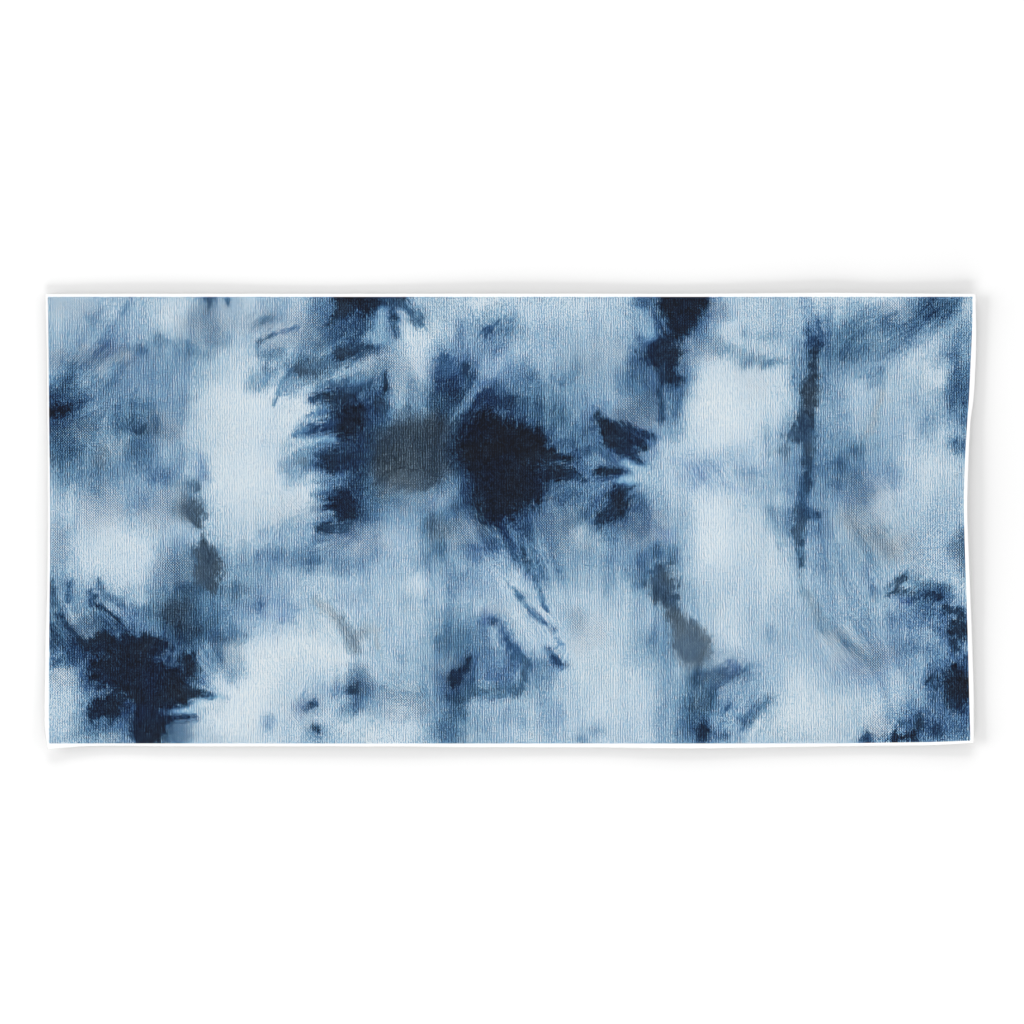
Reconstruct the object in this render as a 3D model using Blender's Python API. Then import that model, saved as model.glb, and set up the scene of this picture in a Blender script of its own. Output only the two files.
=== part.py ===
"""A beach towel of printed cotton velour, laid out flat.

Metres, +Z up. X runs along the towel, Y across it. The origin lies on the floor, under
the middle of the towel's box. The towel is one closed sheet: its hem is turned from the
same cloth, its outline wanders as a real one does, and its edges lift a little off the
floor, while the rest of the underside is flat.
"""

import math
from collections import namedtuple

import bmesh
import bpy

# Driving sizes
LENGTH = 1.830
WIDTH = 0.895
CLOTH_THICKNESS = 0.0030
CORNER_RADIUS = 0.003
LIFT_REACH = 0.095
WIDEST_CELL = 0.052
MERGE_WITHIN = 0.00001
MM = 0.001

# The turned hem in section: how far in from the edge, and the height of its two faces
# in cloth thicknesses. The faces meet at the edge's nose.
HemRow = namedtuple("HemRow", "in_mm under top")
HEM = (
    HemRow(0.0, 0.55, 0.55),
    HemRow(0.5, 0.20, 0.95),
    HemRow(1.6, 0.00, 1.20),
    HemRow(4.5, 0.00, 1.27),
    HemRow(7.0, 0.00, 1.17),
    HemRow(9.0, 0.00, 1.00),
)

# Where the cloth between the hem and the flat middle has its rows
RISE_ROWS_MM = (24.0, 42.0, 60.0, 78.0, 95.0)

# Each side, from its left or near end: how far its edge stands outside the plain
# rectangle, and how far it lifts off the floor
SideRow = namedtuple("SideRow", "along_mm outset_mm lift_mm")
FAR_SIDE = (
    SideRow(0, 0.9, 2.0),
    SideRow(230, 1.0, 3.0),
    SideRow(560, 1.0, 1.5),
    SideRow(930, 1.0, 3.5),
    SideRow(1250, 1.1, 2.0),
    SideRow(1410, 1.9, 3.0),
    SideRow(1550, 2.7, 4.0),
    SideRow(1645, 1.9, 3.0),
    SideRow(1830, 0.6, 4.5),
)
NEAR_SIDE = (
    SideRow(0, 3.2, 5.0),
    SideRow(30, 0.1, 4.0),
    SideRow(70, -2.7, 2.5),
    SideRow(140, -3.8, 1.5),
    SideRow(225, -2.7, 2.0),
    SideRow(700, -2.5, 3.0),
    SideRow(820, -1.1, 2.0),
    SideRow(1090, -0.5, 1.5),
    SideRow(1250, 1.1, 3.0),
    SideRow(1410, -0.5, 2.0),
    SideRow(1645, -3.6, 1.5),
    SideRow(1745, -5.0, 2.5),
    SideRow(1830, -9.4, 4.0),
)
LEFT_SIDE = (
    SideRow(0, -2.4, 5.0),
    SideRow(25, 1.1, 4.5),
    SideRow(55, 3.8, 3.5),
    SideRow(115, 3.8, 2.0),
    SideRow(210, 2.1, 1.5),
    SideRow(350, -1.9, 2.5),
    SideRow(470, -3.3, 3.0),
    SideRow(665, -1.5, 1.5),
    SideRow(840, 0.7, 2.0),
    SideRow(895, 2.3, 2.0),
)
RIGHT_SIDE = (
    SideRow(0, -1.1, 4.0),
    SideRow(95, -1.1, 3.0),
    SideRow(210, -4.6, 3.5),
    SideRow(340, -9.8, 5.0),
    SideRow(455, -14.1, 6.0),
    SideRow(540, -12.7, 5.5),
    SideRow(640, -7.6, 4.0),
    SideRow(685, -1.5, 3.0),
    SideRow(740, 1.9, 2.5),
    SideRow(805, 3.8, 3.0),
    SideRow(895, 2.3, 4.5),
)


def smooth_step(share):
    """Ease from 0 to 1 with level ends."""
    share = min(max(share, 0.0), 1.0)
    return share * share * (3.0 - 2.0 * share)


def slope(rows, index, column):
    """Slope of one column of a side's table at one of its rows."""
    before = rows[max(index - 1, 0)]
    after = rows[min(index + 1, len(rows) - 1)]
    rise = getattr(after, column) - getattr(before, column)
    return rise / (after.along_mm - before.along_mm)


def read_side(rows, column, along):
    """Value of one column, in metres, on a smooth curve through the rows of a side."""
    along_mm = min(max(along / MM, rows[0].along_mm), rows[-1].along_mm)
    index = 0
    while rows[index + 1].along_mm < along_mm:
        index += 1
    low, high = rows[index], rows[index + 1]
    span = high.along_mm - low.along_mm
    share = (along_mm - low.along_mm) / span
    step = smooth_step(share)
    start_bend = share * (1.0 - share) ** 2 * span * slope(rows, index, column)
    end_bend = share ** 2 * (share - 1.0) * span * slope(rows, index + 1, column)
    value = getattr(low, column) * (1.0 - step) + getattr(high, column) * step
    return (value + start_bend + end_bend) * MM


def stations(full):
    """Grid lines across the towel: hem rows, rising rows, then an even middle."""
    from_edge = [row.in_mm * MM for row in HEM] + [mm * MM for mm in RISE_ROWS_MM]
    middle = full - 2.0 * from_edge[-1]
    cells = math.ceil(middle / WIDEST_CELL)
    inner = [from_edge[-1] + middle * cell / cells for cell in range(1, cells)]
    return from_edge + inner + [full - inset for inset in reversed(from_edge)]


def section_height(inset, face):
    """Height of the top or under face above the cloth's rest, by distance from the edge."""
    inset_mm = min(inset / MM, HEM[-1].in_mm)
    index = 0
    while HEM[index + 1].in_mm < inset_mm:
        index += 1
    outer, inner = HEM[index], HEM[index + 1]
    share = (inset_mm - outer.in_mm) / (inner.in_mm - outer.in_mm)
    low, high = getattr(outer, face), getattr(inner, face)
    return (low + (high - low) * share) * CLOTH_THICKNESS


def lift(along_x, along_y):
    """How far the cloth rises off the floor, from the lifts of the sides near it."""
    sides = (
        (read_side(NEAR_SIDE, "lift_mm", along_x), along_y),
        (read_side(FAR_SIDE, "lift_mm", along_x), WIDTH - along_y),
        (read_side(LEFT_SIDE, "lift_mm", along_y), along_x),
        (read_side(RIGHT_SIDE, "lift_mm", along_y), LENGTH - along_x),
    )
    return max(height * smooth_step(1.0 - inset / LIFT_REACH) for height, inset in sides)


def round_corner(inset_x, inset_y):
    """Insets of a point near a corner, moved from a square onto a quarter disc."""
    over_x = CORNER_RADIUS - inset_x
    over_y = CORNER_RADIUS - inset_y
    if min(over_x, over_y) <= 0.0:
        return inset_x, inset_y
    drawn_x = over_x * math.sqrt(1.0 - 0.5 * (over_y / CORNER_RADIUS) ** 2)
    drawn_y = over_y * math.sqrt(1.0 - 0.5 * (over_x / CORNER_RADIUS) ** 2)
    return CORNER_RADIUS - drawn_x, CORNER_RADIUS - drawn_y


def cloth_point(along_x, along_y, face):
    """Place of one grid point of the top or under face."""
    near = -read_side(NEAR_SIDE, "outset_mm", along_x)
    far = WIDTH + read_side(FAR_SIDE, "outset_mm", along_x)
    left = -read_side(LEFT_SIDE, "outset_mm", along_y)
    right = LENGTH + read_side(RIGHT_SIDE, "outset_mm", along_y)
    x = left + (right - left) * along_x / LENGTH
    y = near + (far - near) * along_y / WIDTH
    inset_x = min(along_x, LENGTH - along_x)
    inset_y = min(along_y, WIDTH - along_y)
    round_x, round_y = round_corner(inset_x, inset_y)
    x += math.copysign(round_x - inset_x, LENGTH / 2 - along_x)
    y += math.copysign(round_y - inset_y, WIDTH / 2 - along_y)
    z = section_height(min(inset_x, inset_y), face) + lift(along_x, along_y)
    return x, y, z


def make_face(mesh, face):
    """One face of the cloth: a plain grid whose points move to their places."""
    lines_x = stations(LENGTH)
    lines_y = stations(WIDTH)
    cells_x = len(lines_x) - 1
    cells_y = len(lines_y) - 1
    made = bmesh.ops.create_grid(mesh, x_segments=cells_x, y_segments=cells_y, size=0.5)
    for vert in made["verts"]:
        line_x = round((vert.co.x + 0.5) * cells_x)
        line_y = round((vert.co.y + 0.5) * cells_y)
        vert.co = cloth_point(lines_x[line_x], lines_y[line_y], face)


def centre_box(mesh):
    """Bring the middle of the box over the origin, with the underside on the floor."""
    for axis in (0, 1):
        places = [vert.co[axis] for vert in mesh.verts]
        middle = (min(places) + max(places)) / 2
        for vert in mesh.verts:
            vert.co[axis] -= middle


def velour_material():
    """Printed velour: a mid blue of the dye, rough and without metal."""
    material = bpy.data.materials.new("printed_velour")
    material.use_nodes = True
    shader = material.node_tree.nodes["Principled BSDF"]
    shader.inputs["Base Color"].default_value = (0.22, 0.36, 0.50, 1.0)
    shader.inputs["Roughness"].default_value = 0.95
    shader.inputs["Metallic"].default_value = 0.0
    return material


def build_towel():
    """The towel: a top and an under face that share the edge's nose."""
    mesh = bmesh.new()
    make_face(mesh, "top")
    top_faces = set(mesh.faces)
    make_face(mesh, "under")
    under_faces = [polygon for polygon in mesh.faces if polygon not in top_faces]
    bmesh.ops.reverse_faces(mesh, faces=under_faces)
    bmesh.ops.remove_doubles(mesh, verts=mesh.verts, dist=MERGE_WITHIN)
    centre_box(mesh)
    data = bpy.data.meshes.new("towel")
    mesh.to_mesh(data)
    mesh.free()
    data.shade_smooth()
    towel = bpy.data.objects.new("towel", data)
    towel.data.materials.append(velour_material())
    bpy.context.collection.objects.link(towel)


for old in list(bpy.data.objects):
    bpy.data.objects.remove(old, do_unlink=True)
build_towel()
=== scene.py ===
"""Looks of an indigo tie-dyed beach towel, laid out flat and seen from straight above.

Metres, +Z up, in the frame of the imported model. A fine closed mesh of the cloth replaces
the plain solid: it has the same outline, hem and lifted edges. The dye is painted on the
cloth's points, and the cloth's materials add its threads, twill, pile and loops.
"""

import math
from collections import namedtuple

import bmesh
import bpy
import numpy as np
from bpy.props import FloatProperty, FloatVectorProperty, IntProperty, PointerProperty
from bpy.types import Operator, Panel, PropertyGroup
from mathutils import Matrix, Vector


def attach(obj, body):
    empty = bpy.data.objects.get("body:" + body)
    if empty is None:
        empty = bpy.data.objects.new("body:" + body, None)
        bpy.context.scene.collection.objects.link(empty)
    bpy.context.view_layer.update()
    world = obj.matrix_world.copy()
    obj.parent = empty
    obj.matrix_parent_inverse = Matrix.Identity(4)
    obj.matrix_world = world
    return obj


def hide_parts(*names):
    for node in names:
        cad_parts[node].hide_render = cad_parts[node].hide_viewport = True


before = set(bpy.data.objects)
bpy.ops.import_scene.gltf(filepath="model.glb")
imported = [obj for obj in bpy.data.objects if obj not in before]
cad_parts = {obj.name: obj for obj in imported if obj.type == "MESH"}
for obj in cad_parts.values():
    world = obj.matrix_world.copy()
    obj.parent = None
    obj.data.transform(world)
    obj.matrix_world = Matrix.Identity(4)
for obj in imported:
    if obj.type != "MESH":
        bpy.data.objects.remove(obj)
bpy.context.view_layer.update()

bl_info = {
    "name": "Tie-dyed Beach Towel",
    "version": (1, 0, 0),
    "blender": (4, 5, 0),
    "location": "View3D > Sidebar > Beach Towel",
    "description": "Builds a flat tie-dyed beach towel and the studio around it",
    "category": "Add Mesh",
}

MM = 0.001
CM = 0.01

# The cloth's own sizes, as in the solid
LENGTH = 1.830
WIDTH = 0.895
CORNER_RADIUS = 0.003
LIFT_REACH = 0.095
MERGE_WITHIN = 0.00001

# The turned hem in section: how far in from the edge, and the height of its two faces in
# cloth thicknesses
HemRow = namedtuple("HemRow", "in_mm under top")
HEM = (
    HemRow(0.0, 0.55, 0.55),
    HemRow(0.5, 0.20, 0.95),
    HemRow(1.6, 0.00, 1.20),
    HemRow(4.5, 0.00, 1.27),
    HemRow(7.0, 0.00, 1.17),
    HemRow(9.0, 0.00, 1.00),
)
UNDER_ROWS_MM = (0.5, 1.6, 9.0, 42.0, 95.0)

# Each side, from its left or near end: how far its edge stands outside the plain
# rectangle, and how far it lifts off the floor
SideRow = namedtuple("SideRow", "along_mm outset_mm lift_mm")
FAR_SIDE = (
    SideRow(0, 0.9, 2.0),
    SideRow(230, 1.0, 3.0),
    SideRow(560, 1.0, 1.5),
    SideRow(930, 1.0, 3.5),
    SideRow(1250, 1.1, 2.0),
    SideRow(1410, 1.9, 3.0),
    SideRow(1550, 2.7, 4.0),
    SideRow(1645, 1.9, 3.0),
    SideRow(1830, 0.6, 4.5),
)
NEAR_SIDE = (
    SideRow(0, 3.2, 5.0),
    SideRow(30, 0.1, 4.0),
    SideRow(70, -2.7, 2.5),
    SideRow(140, -3.8, 1.5),
    SideRow(225, -2.7, 2.0),
    SideRow(700, -2.5, 3.0),
    SideRow(820, -1.1, 2.0),
    SideRow(1090, -0.5, 1.5),
    SideRow(1250, 1.1, 3.0),
    SideRow(1410, -0.5, 2.0),
    SideRow(1645, -3.6, 1.5),
    SideRow(1745, -5.0, 2.5),
    SideRow(1830, -9.4, 4.0),
)
LEFT_SIDE = (
    SideRow(0, -2.4, 5.0),
    SideRow(25, 1.1, 4.5),
    SideRow(55, 3.8, 3.5),
    SideRow(115, 3.8, 2.0),
    SideRow(210, 2.1, 1.5),
    SideRow(350, -1.9, 2.5),
    SideRow(470, -3.3, 3.0),
    SideRow(665, -1.5, 1.5),
    SideRow(840, 0.7, 2.0),
    SideRow(895, 2.3, 2.0),
)
RIGHT_SIDE = (
    SideRow(0, -1.1, 4.0),
    SideRow(95, -1.1, 3.0),
    SideRow(210, -4.6, 3.5),
    SideRow(340, -9.8, 5.0),
    SideRow(455, -14.1, 6.0),
    SideRow(540, -12.7, 5.5),
    SideRow(640, -7.6, 4.0),
    SideRow(685, -1.5, 3.0),
    SideRow(740, 1.9, 2.5),
    SideRow(805, 3.8, 3.0),
    SideRow(895, 2.3, 4.5),
)

# Where the print stops short of the cloth's edge, in cm from the near left corner: the
# left and right ends of the print by height, and its near side by length
PrintRow = namedtuple("PrintRow", "along_cm edge_cm")
PRINT_LEFT = (
    PrintRow(1.0, 0.60),
    PrintRow(14.0, 0.54),
    PrintRow(28.3, 0.68),
    PrintRow(38.0, 0.80),
    PrintRow(53.9, 0.76),
    PrintRow(60.6, 0.64),
    PrintRow(83.3, 0.44),
    PrintRow(88.3, 0.35),
)
PRINT_RIGHT = (
    PrintRow(2.5, 182.17),
    PrintRow(9.4, 181.99),
    PrintRow(21.2, 181.69),
    PrintRow(33.0, 181.28),
    PrintRow(39.9, 181.04),
    PrintRow(46.8, 180.87),
    PrintRow(53.9, 180.96),
    PrintRow(58.7, 181.20),
    PrintRow(63.8, 181.52),
    PrintRow(68.5, 181.89),
    PrintRow(73.7, 182.15),
    PrintRow(83.3, 182.54),
    PrintRow(89.0, 182.62),
)
PRINT_NEAR = (
    PrintRow(0.0, 0.93),
    PrintRow(155.0, 0.93),
    PrintRow(164.5, 1.07),
    PrintRow(174.4, 1.21),
    PrintRow(182.3, 1.49),
)
PRINT_FAR_CM = 88.96

# The middle of the towel's box, in cm from the near left corner of the plain rectangle
BOX_MIDDLE_CM = (91.50, 44.76)

# How far in the hem reaches, and the distance over which the ripples rise behind it
HEM_REACH = HEM[-1].in_mm * MM
RIPPLE_START = 0.040

# Noise in the dye and in the lie of the cloth: lumps with finer lumps on them, and streaks,
# which are lumps drawn out one way
Noise = namedtuple("Noise", "cell_cm weight seed")
Streak = namedtuple("Streak", "wide_cm long_cm weight seed")
LATTICE = 257
FINER_LUMPS = 0.55
FINEST_LUMPS = 0.3
STREAK_STEPS = 17
STREAK_GAIN = 2.4

# Ripples of cloth that was washed and laid out, some of them drawn out across the towel
RIPPLE_NOISE = Noise(14.0, 0.7, 301)
RIPPLE_STREAKS = (Streak(5.0, 22.0, 0.5, 305),)
ACROSS_TOWEL = (0.0, 1.0)

# How a mark of dye ends: its soft rim in cm and as a share of its smaller half-width, how
# far its edge feathers along the grain, how far it wanders, and how much of what is under
# it the mark covers
Edge = namedtuple("Edge", "rim_cm rim_share feather_cm wander cover")
MIST = Edge(0.0, 0.95, 2.2, 1.2, 1.0)
CLOUD = Edge(0.45, 0.62, 1.6, 1.0, 0.87)
WET = Edge(0.5, 0.2, 1.8, 1.0, 1.0)
CRISP = Edge(0.34, 0.20, 0.5, 0.4, 0.9)
BARE = Edge(0.50, 0.30, 0.8, 0.6, 0.95)

# A pool is an oval of dye and a stroke a tapered one between two points. Places and sizes
# are in cm from the towel's near left corner. Tone runs from 0, bare cloth, to 1, black,
# and hue from -1, azure, through indigo to 1, charcoal.
Pool = namedtuple("Pool", "edge x y across up tone hue turn", defaults=(0, 0))
Stroke = namedtuple("Stroke", "edge x y wide to_x to_y to_wide tone hue", defaults=(0,))

# The pale and dark grounds that the marks lie on
GROUND = (
    Pool(MIST, 4, 85, 6, 5, 0.26),
    Pool(MIST, 12, 83, 8, 4, 0.36),
    Pool(MIST, 24, 86, 5, 4, 0.13),
    Pool(MIST, 15, 76, 17, 5, 0.45),
    Pool(MIST, 32, 84, 5, 6, 0.42),
    Pool(MIST, 41, 86, 6, 5, 0.28),
    Pool(MIST, 48, 83, 7, 5, 0.36),
    Pool(MIST, 51, 87, 4, 2, 0.25),
    Pool(MIST, 60, 82, 7, 9, 0.72, 0.1),
    Pool(MIST, 73, 80, 4, 9, 0.1),
    Pool(MIST, 80, 83, 4, 7, 0.24),
    Pool(MIST, 90, 79, 6, 7, 0.58, -0.2),
    Pool(MIST, 89, 88, 7, 2, 0.1),
    Pool(MIST, 102, 86, 12, 5, 0.2),
    Pool(MIST, 104, 77, 14, 5, 0.33),
    Pool(MIST, 121.6, 77, 6, 9, 0.66, -0.1),
    Pool(MIST, 135, 84, 8, 6, 0.15),
    Pool(MIST, 146, 80, 8, 8, 0.28),
    Pool(MIST, 160, 88, 8, 2.8, 0.04),
    Pool(MIST, 163, 80, 12, 6, 0.62, 0, 5),
    Pool(MIST, 176, 87, 6, 3, 0.66, 0, 10),
    Pool(MIST, 173, 76, 6, 4, 0.15, 0, 35),
    Pool(MIST, 181, 78, 4, 8, 0.5),
    Pool(MIST, 8, 68, 12, 5, 0.52),
    Pool(MIST, 7.5, 63, 3.6, 2.6, 0.72),
    Pool(MIST, 23, 72, 9, 5, 0.5),
    Pool(MIST, 20, 63, 8, 4, 0.6),
    Pool(MIST, 38, 68, 9, 8, 0.04),
    Pool(MIST, 60, 68, 8, 8, 0.78),
    Pool(MIST, 49, 67, 5, 6, 0.06),
    Pool(MIST, 71, 71, 4, 7, 0.46),
    Pool(CLOUD, 45, 77.4, 2.6, 1.8, 0.55),
    Pool(MIST, 79, 70, 5, 7, 0.72),
    Pool(MIST, 88, 73, 6, 4, 0.5, -0.3, 10),
    Pool(MIST, 84.5, 73.5, 3, 2.6, 0.78),
    Pool(MIST, 101, 68, 9, 6, 0.6, 0.1),
    Pool(MIST, 111, 71, 7, 5, 0.38),
    Pool(MIST, 118, 68, 5, 5, 0.5),
    Pool(MIST, 133, 67, 9, 9, 0.02),
    Pool(MIST, 143, 67, 5, 9, 0.11),
    Pool(MIST, 162, 68, 10, 7, 0.28),
    Pool(MIST, 157, 63, 3.4, 3, 0.26),
    Pool(CLOUD, 175, 64, 2.6, 2.6, 0.46),
    Pool(MIST, 181, 68, 4, 9, 0.62),
    Pool(MIST, 175.5, 73.5, 3, 2.6, 0.14),
    Pool(MIST, 4, 57, 5, 5, 0.66),
    Pool(MIST, 14, 55, 11, 6, 0.5),
    Pool(MIST, 26, 55, 6, 6, 0.5),
    Pool(MIST, 3, 48, 5, 4, 0.22),
    Pool(MIST, 20, 48, 10, 4, 0.4),
    Pool(MIST, 39, 53, 8, 10, 0.05),
    Pool(MIST, 49, 50, 5, 9, 0.1),
    Pool(MIST, 60, 53, 6, 10, 0.72),
    Pool(MIST, 72, 57, 11, 5, 0.86, 0.8),
    Pool(MIST, 70, 47, 8, 4, 0.6),
    Pool(MIST, 92, 55, 10, 9, 0.97),
    Pool(MIST, 103, 49, 6, 7, 0.56, 0.1),
    Pool(MIST, 112, 50, 6, 9, 0.6),
    Pool(MIST, 106, 58.5, 3.4, 3, 0.78),
    Pool(MIST, 123, 53, 5, 8, 0.24),
    Pool(MIST, 131, 54, 8, 4, 0.28, -0.3),
    Pool(MIST, 132, 43, 7, 9, 0.03),
    Pool(MIST, 142, 53, 6, 6, 0.3),
    Pool(MIST, 157, 53, 8, 8, 0.64),
    Pool(MIST, 173, 52, 9, 8, 0.17),
    Pool(MIST, 13, 38, 12, 5, 0.1),
    Pool(MIST, 5.5, 41, 3, 2.6, 0.14),
    Pool(MIST, 2, 38, 3, 7, 0.42),
    Pool(MIST, 26, 42, 6, 3, 0.3),
    Pool(MIST, 27, 34, 6, 5, 0.56),
    Pool(MIST, 38, 41, 7, 5, 0.22),
    Pool(MIST, 41, 34, 8, 4, 0.44),
    Pool(MIST, 52, 38, 7, 3, 0.54),
    Pool(MIST, 62, 38, 7, 5, 0.5),
    Pool(MIST, 70, 37, 5, 8, 0.27),
    Pool(MIST, 78, 40, 5, 6, 0.5, 0.1),
    Pool(MIST, 86, 43, 5, 4, 0.55, 0, -40),
    Pool(MIST, 87, 33, 5, 5, 0.36, -0.2),
    Pool(MIST, 97, 39, 4, 8, 0.54, 0, 20),
    Pool(MIST, 103, 40, 4, 7, 0.54),
    Pool(MIST, 110, 36, 6, 8, 0.4),
    Pool(MIST, 119, 40, 6, 7, 0.44),
    Pool(MIST, 143, 38, 6, 9, 0.15),
    Pool(MIST, 155, 38, 7, 7, 0.44),
    Pool(MIST, 165, 41, 6, 5, 0.4, 0.5, -30),
    Pool(MIST, 175, 41, 5, 7, 0.28),
    Pool(MIST, 6, 28, 5, 4, 0.5),
    Pool(MIST, 16, 27, 5, 4, 0.48, -0.2),
    Pool(MIST, 27, 26, 7, 5, 0.76, 0.3),
    Pool(MIST, 36, 26, 6, 4, 0.56, -0.1),
    Pool(MIST, 45, 27, 6, 4, 0.36, -0.3),
    Pool(MIST, 43, 15, 8, 9, 0.02),
    Pool(MIST, 55, 27, 7, 5, 0.26),
    Pool(MIST, 52, 18, 8, 5, 0.04),
    Pool(MIST, 69, 24, 7, 8, 0.26),
    Pool(MIST, 81, 20, 5, 8, 0.6),
    Pool(MIST, 88, 19, 4, 7, 0.5),
    Pool(MIST, 98, 27, 5, 5, 0.28, 0, -40),
    Pool(MIST, 97, 13, 6, 6, 0.52),
    Pool(MIST, 107, 20, 7, 11, 0.17),
    Pool(MIST, 121.5, 18.5, 4.4, 6.5, 0.48),
    Pool(MIST, 136, 23, 5, 7, 0.1),
    Pool(MIST, 147, 22, 9, 8, 0.27),
    Pool(MIST, 160, 23, 9, 6, 0.4, 0.1, -20),
    Pool(MIST, 171, 21, 7, 6, 0.42, 0, -10),
    Pool(MIST, 3, 9, 5, 8, 0.2),
    Pool(MIST, 11, 4, 6, 3, 0.52),
    Pool(MIST, 37, 8, 8, 10, 0.02),
    Pool(MIST, 31, 9.5, 2.6, 2.4, 0.42),
    Pool(MIST, 51, 9, 5, 7, 0.18),
    Pool(MIST, 61, 11, 5, 5, 0.44),
    Pool(MIST, 66, 3, 6, 4, 0.11),
    Pool(MIST, 71, 10, 5, 3, 0.44),
    Pool(MIST, 80, 7, 5, 8, 0.64),
    Pool(MIST, 90, 7, 6, 6, 0.34),
    Pool(MIST, 101, 7, 4, 5, 0.36, -0.2),
    Pool(MIST, 114, 8, 9, 8, 0.15),
    Pool(MIST, 128, 8, 6, 8, 0.54),
    Pool(MIST, 138, 11, 5, 5, 0.42, 0, 20),
    Pool(MIST, 151, 7, 9, 8, 0.11),
    Pool(MIST, 164, 9, 7, 5, 0.24),
    Pool(MIST, 175, 6, 7, 5, 0.58),
    Pool(MIST, 179, 13, 4, 5, 0.66),
    Pool(MIST, 90, 83, 3.4, 3, 0.54),
    Pool(MIST, 36, 22, 2.4, 2.4, 0.68),
    Pool(MIST, 143, 61, 3, 3.2, 0.38),
    Pool(MIST, 110.5, 43, 2.2, 2.2, 0.66),
    Pool(MIST, 116, 66.5, 2.6, 2.6, 0.72),
    Pool(MIST, 116, 73, 2.6, 2.6, 0.7),
    Pool(MIST, 5, 71.5, 3, 2, 0.44),
    Pool(MIST, 116, 46, 2.6, 3, 0.84),
    Pool(MIST, 145, 44, 2.6, 3, 0.54),
    Pool(MIST, 129, 53, 4, 4, 0.3, -0.5),
    Pool(MIST, 162, 17, 5, 4, 0.46, -0.4),
    Pool(MIST, 165, 53, 4, 3, 0.44, -0.35),
    Pool(MIST, 158, 48, 3, 3, 0.56, -0.35),
    Pool(MIST, 118.5, 43.5, 2.2, 2.2, 0.58, -0.35),
    Pool(MIST, 13, 78, 4, 3, 0.54, -0.35),
)

# The marks in each part of the towel, from the far left to the near right
FAR_LEFT = (
    Pool(CLOUD, 29.6, 61.2, 2.4, 2.2, 0.22),
    Pool(CLOUD, 42.4, 72.8, 3.4, 2, 0.44, 0, 20),
    Pool(CLOUD, 48.4, 71.8, 2.6, 2, 0.48),
    Stroke(CRISP, 15, 85.3, 0.5, 16, 87.5, 0.4, 0.58),
    Pool(CLOUD, 10, 84, 3, 1.8, 0.47, 0, -20),
    Pool(CLOUD, 17.5, 79, 1.9, 0.9, 0.7),
    Pool(CLOUD, 22.6, 80.4, 1.5, 0.5, 0.58),
    Stroke(CLOUD, 25, 79.6, 0.8, 36, 80.2, 0.6, 0.52),
    Pool(CLOUD, 29.5, 78, 3.5, 1.6, 0.55, 0.2, -15),
    Pool(CLOUD, 31.5, 83, 2.8, 3.2, 0.54, 0.1),
    Pool(WET, 32.4, 87.8, 1.1, 1.8, 0.74),
    Pool(CRISP, 35.8, 87.9, 0.5, 1.4, 0.7, -0.1, 8),
    Pool(CLOUD, 40.5, 87.5, 1.2, 1.5, 0.12),
    Pool(CLOUD, 11.5, 71.6, 2.3, 1.6, 0.65, 0, -25),
    Pool(CLOUD, 14, 76, 1.5, 2.2, 0.63, 0, -20),
    Stroke(CLOUD, 5, 75.5, 0.5, 3.6, 71, 1, 0.66),
    Pool(CLOUD, 2, 67, 5, 4.2, 0.82, 0.1),
    Pool(WET, 2, 66.6, 3.2, 1.5, 0.98),
    Pool(CLOUD, 2, 62, 3, 3.6, 0.82, 0.1),
    Pool(CLOUD, 18.5, 63.6, 4.6, 2.6, 0.76, 0, -10),
    Pool(WET, 18.6, 62.8, 1.8, 0.9, 0.84),
    Pool(CLOUD, 18.2, 67.2, 2.8, 1.6, 0.66),
    Pool(CLOUD, 27.5, 68.7, 2.6, 0.8, 0.48, 0, 10),
    Pool(CLOUD, 32, 65, 2.2, 4.5, 0.14, 0, 20),
    Stroke(CRISP, 42.2, 72.3, 0.35, 44, 73.4, 0.5, 0.52),
    Stroke(CLOUD, 44, 73.8, 0.8, 47, 75.5, 0.9, 0.6),
    Stroke(CRISP, 42, 80.1, 0.25, 44.6, 81.4, 0.4, 0.8),
    Stroke(CRISP, 44.6, 81.4, 0.4, 49.6, 83, 0.45, 0.68, -0.4),
    Stroke(CLOUD, 41.5, 80, 0.5, 41.8, 77.5, 0.5, 0.5),
    Pool(CLOUD, 43, 84.2, 1.8, 0.6, 0.52, 0.2, 12),
    Stroke(CRISP, 46.9, 73, 0.3, 45.8, 70, 0.45, 0.55),
    Stroke(CRISP, 45.8, 70, 0.45, 44.8, 67.8, 0.3, 0.66),
)

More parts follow.
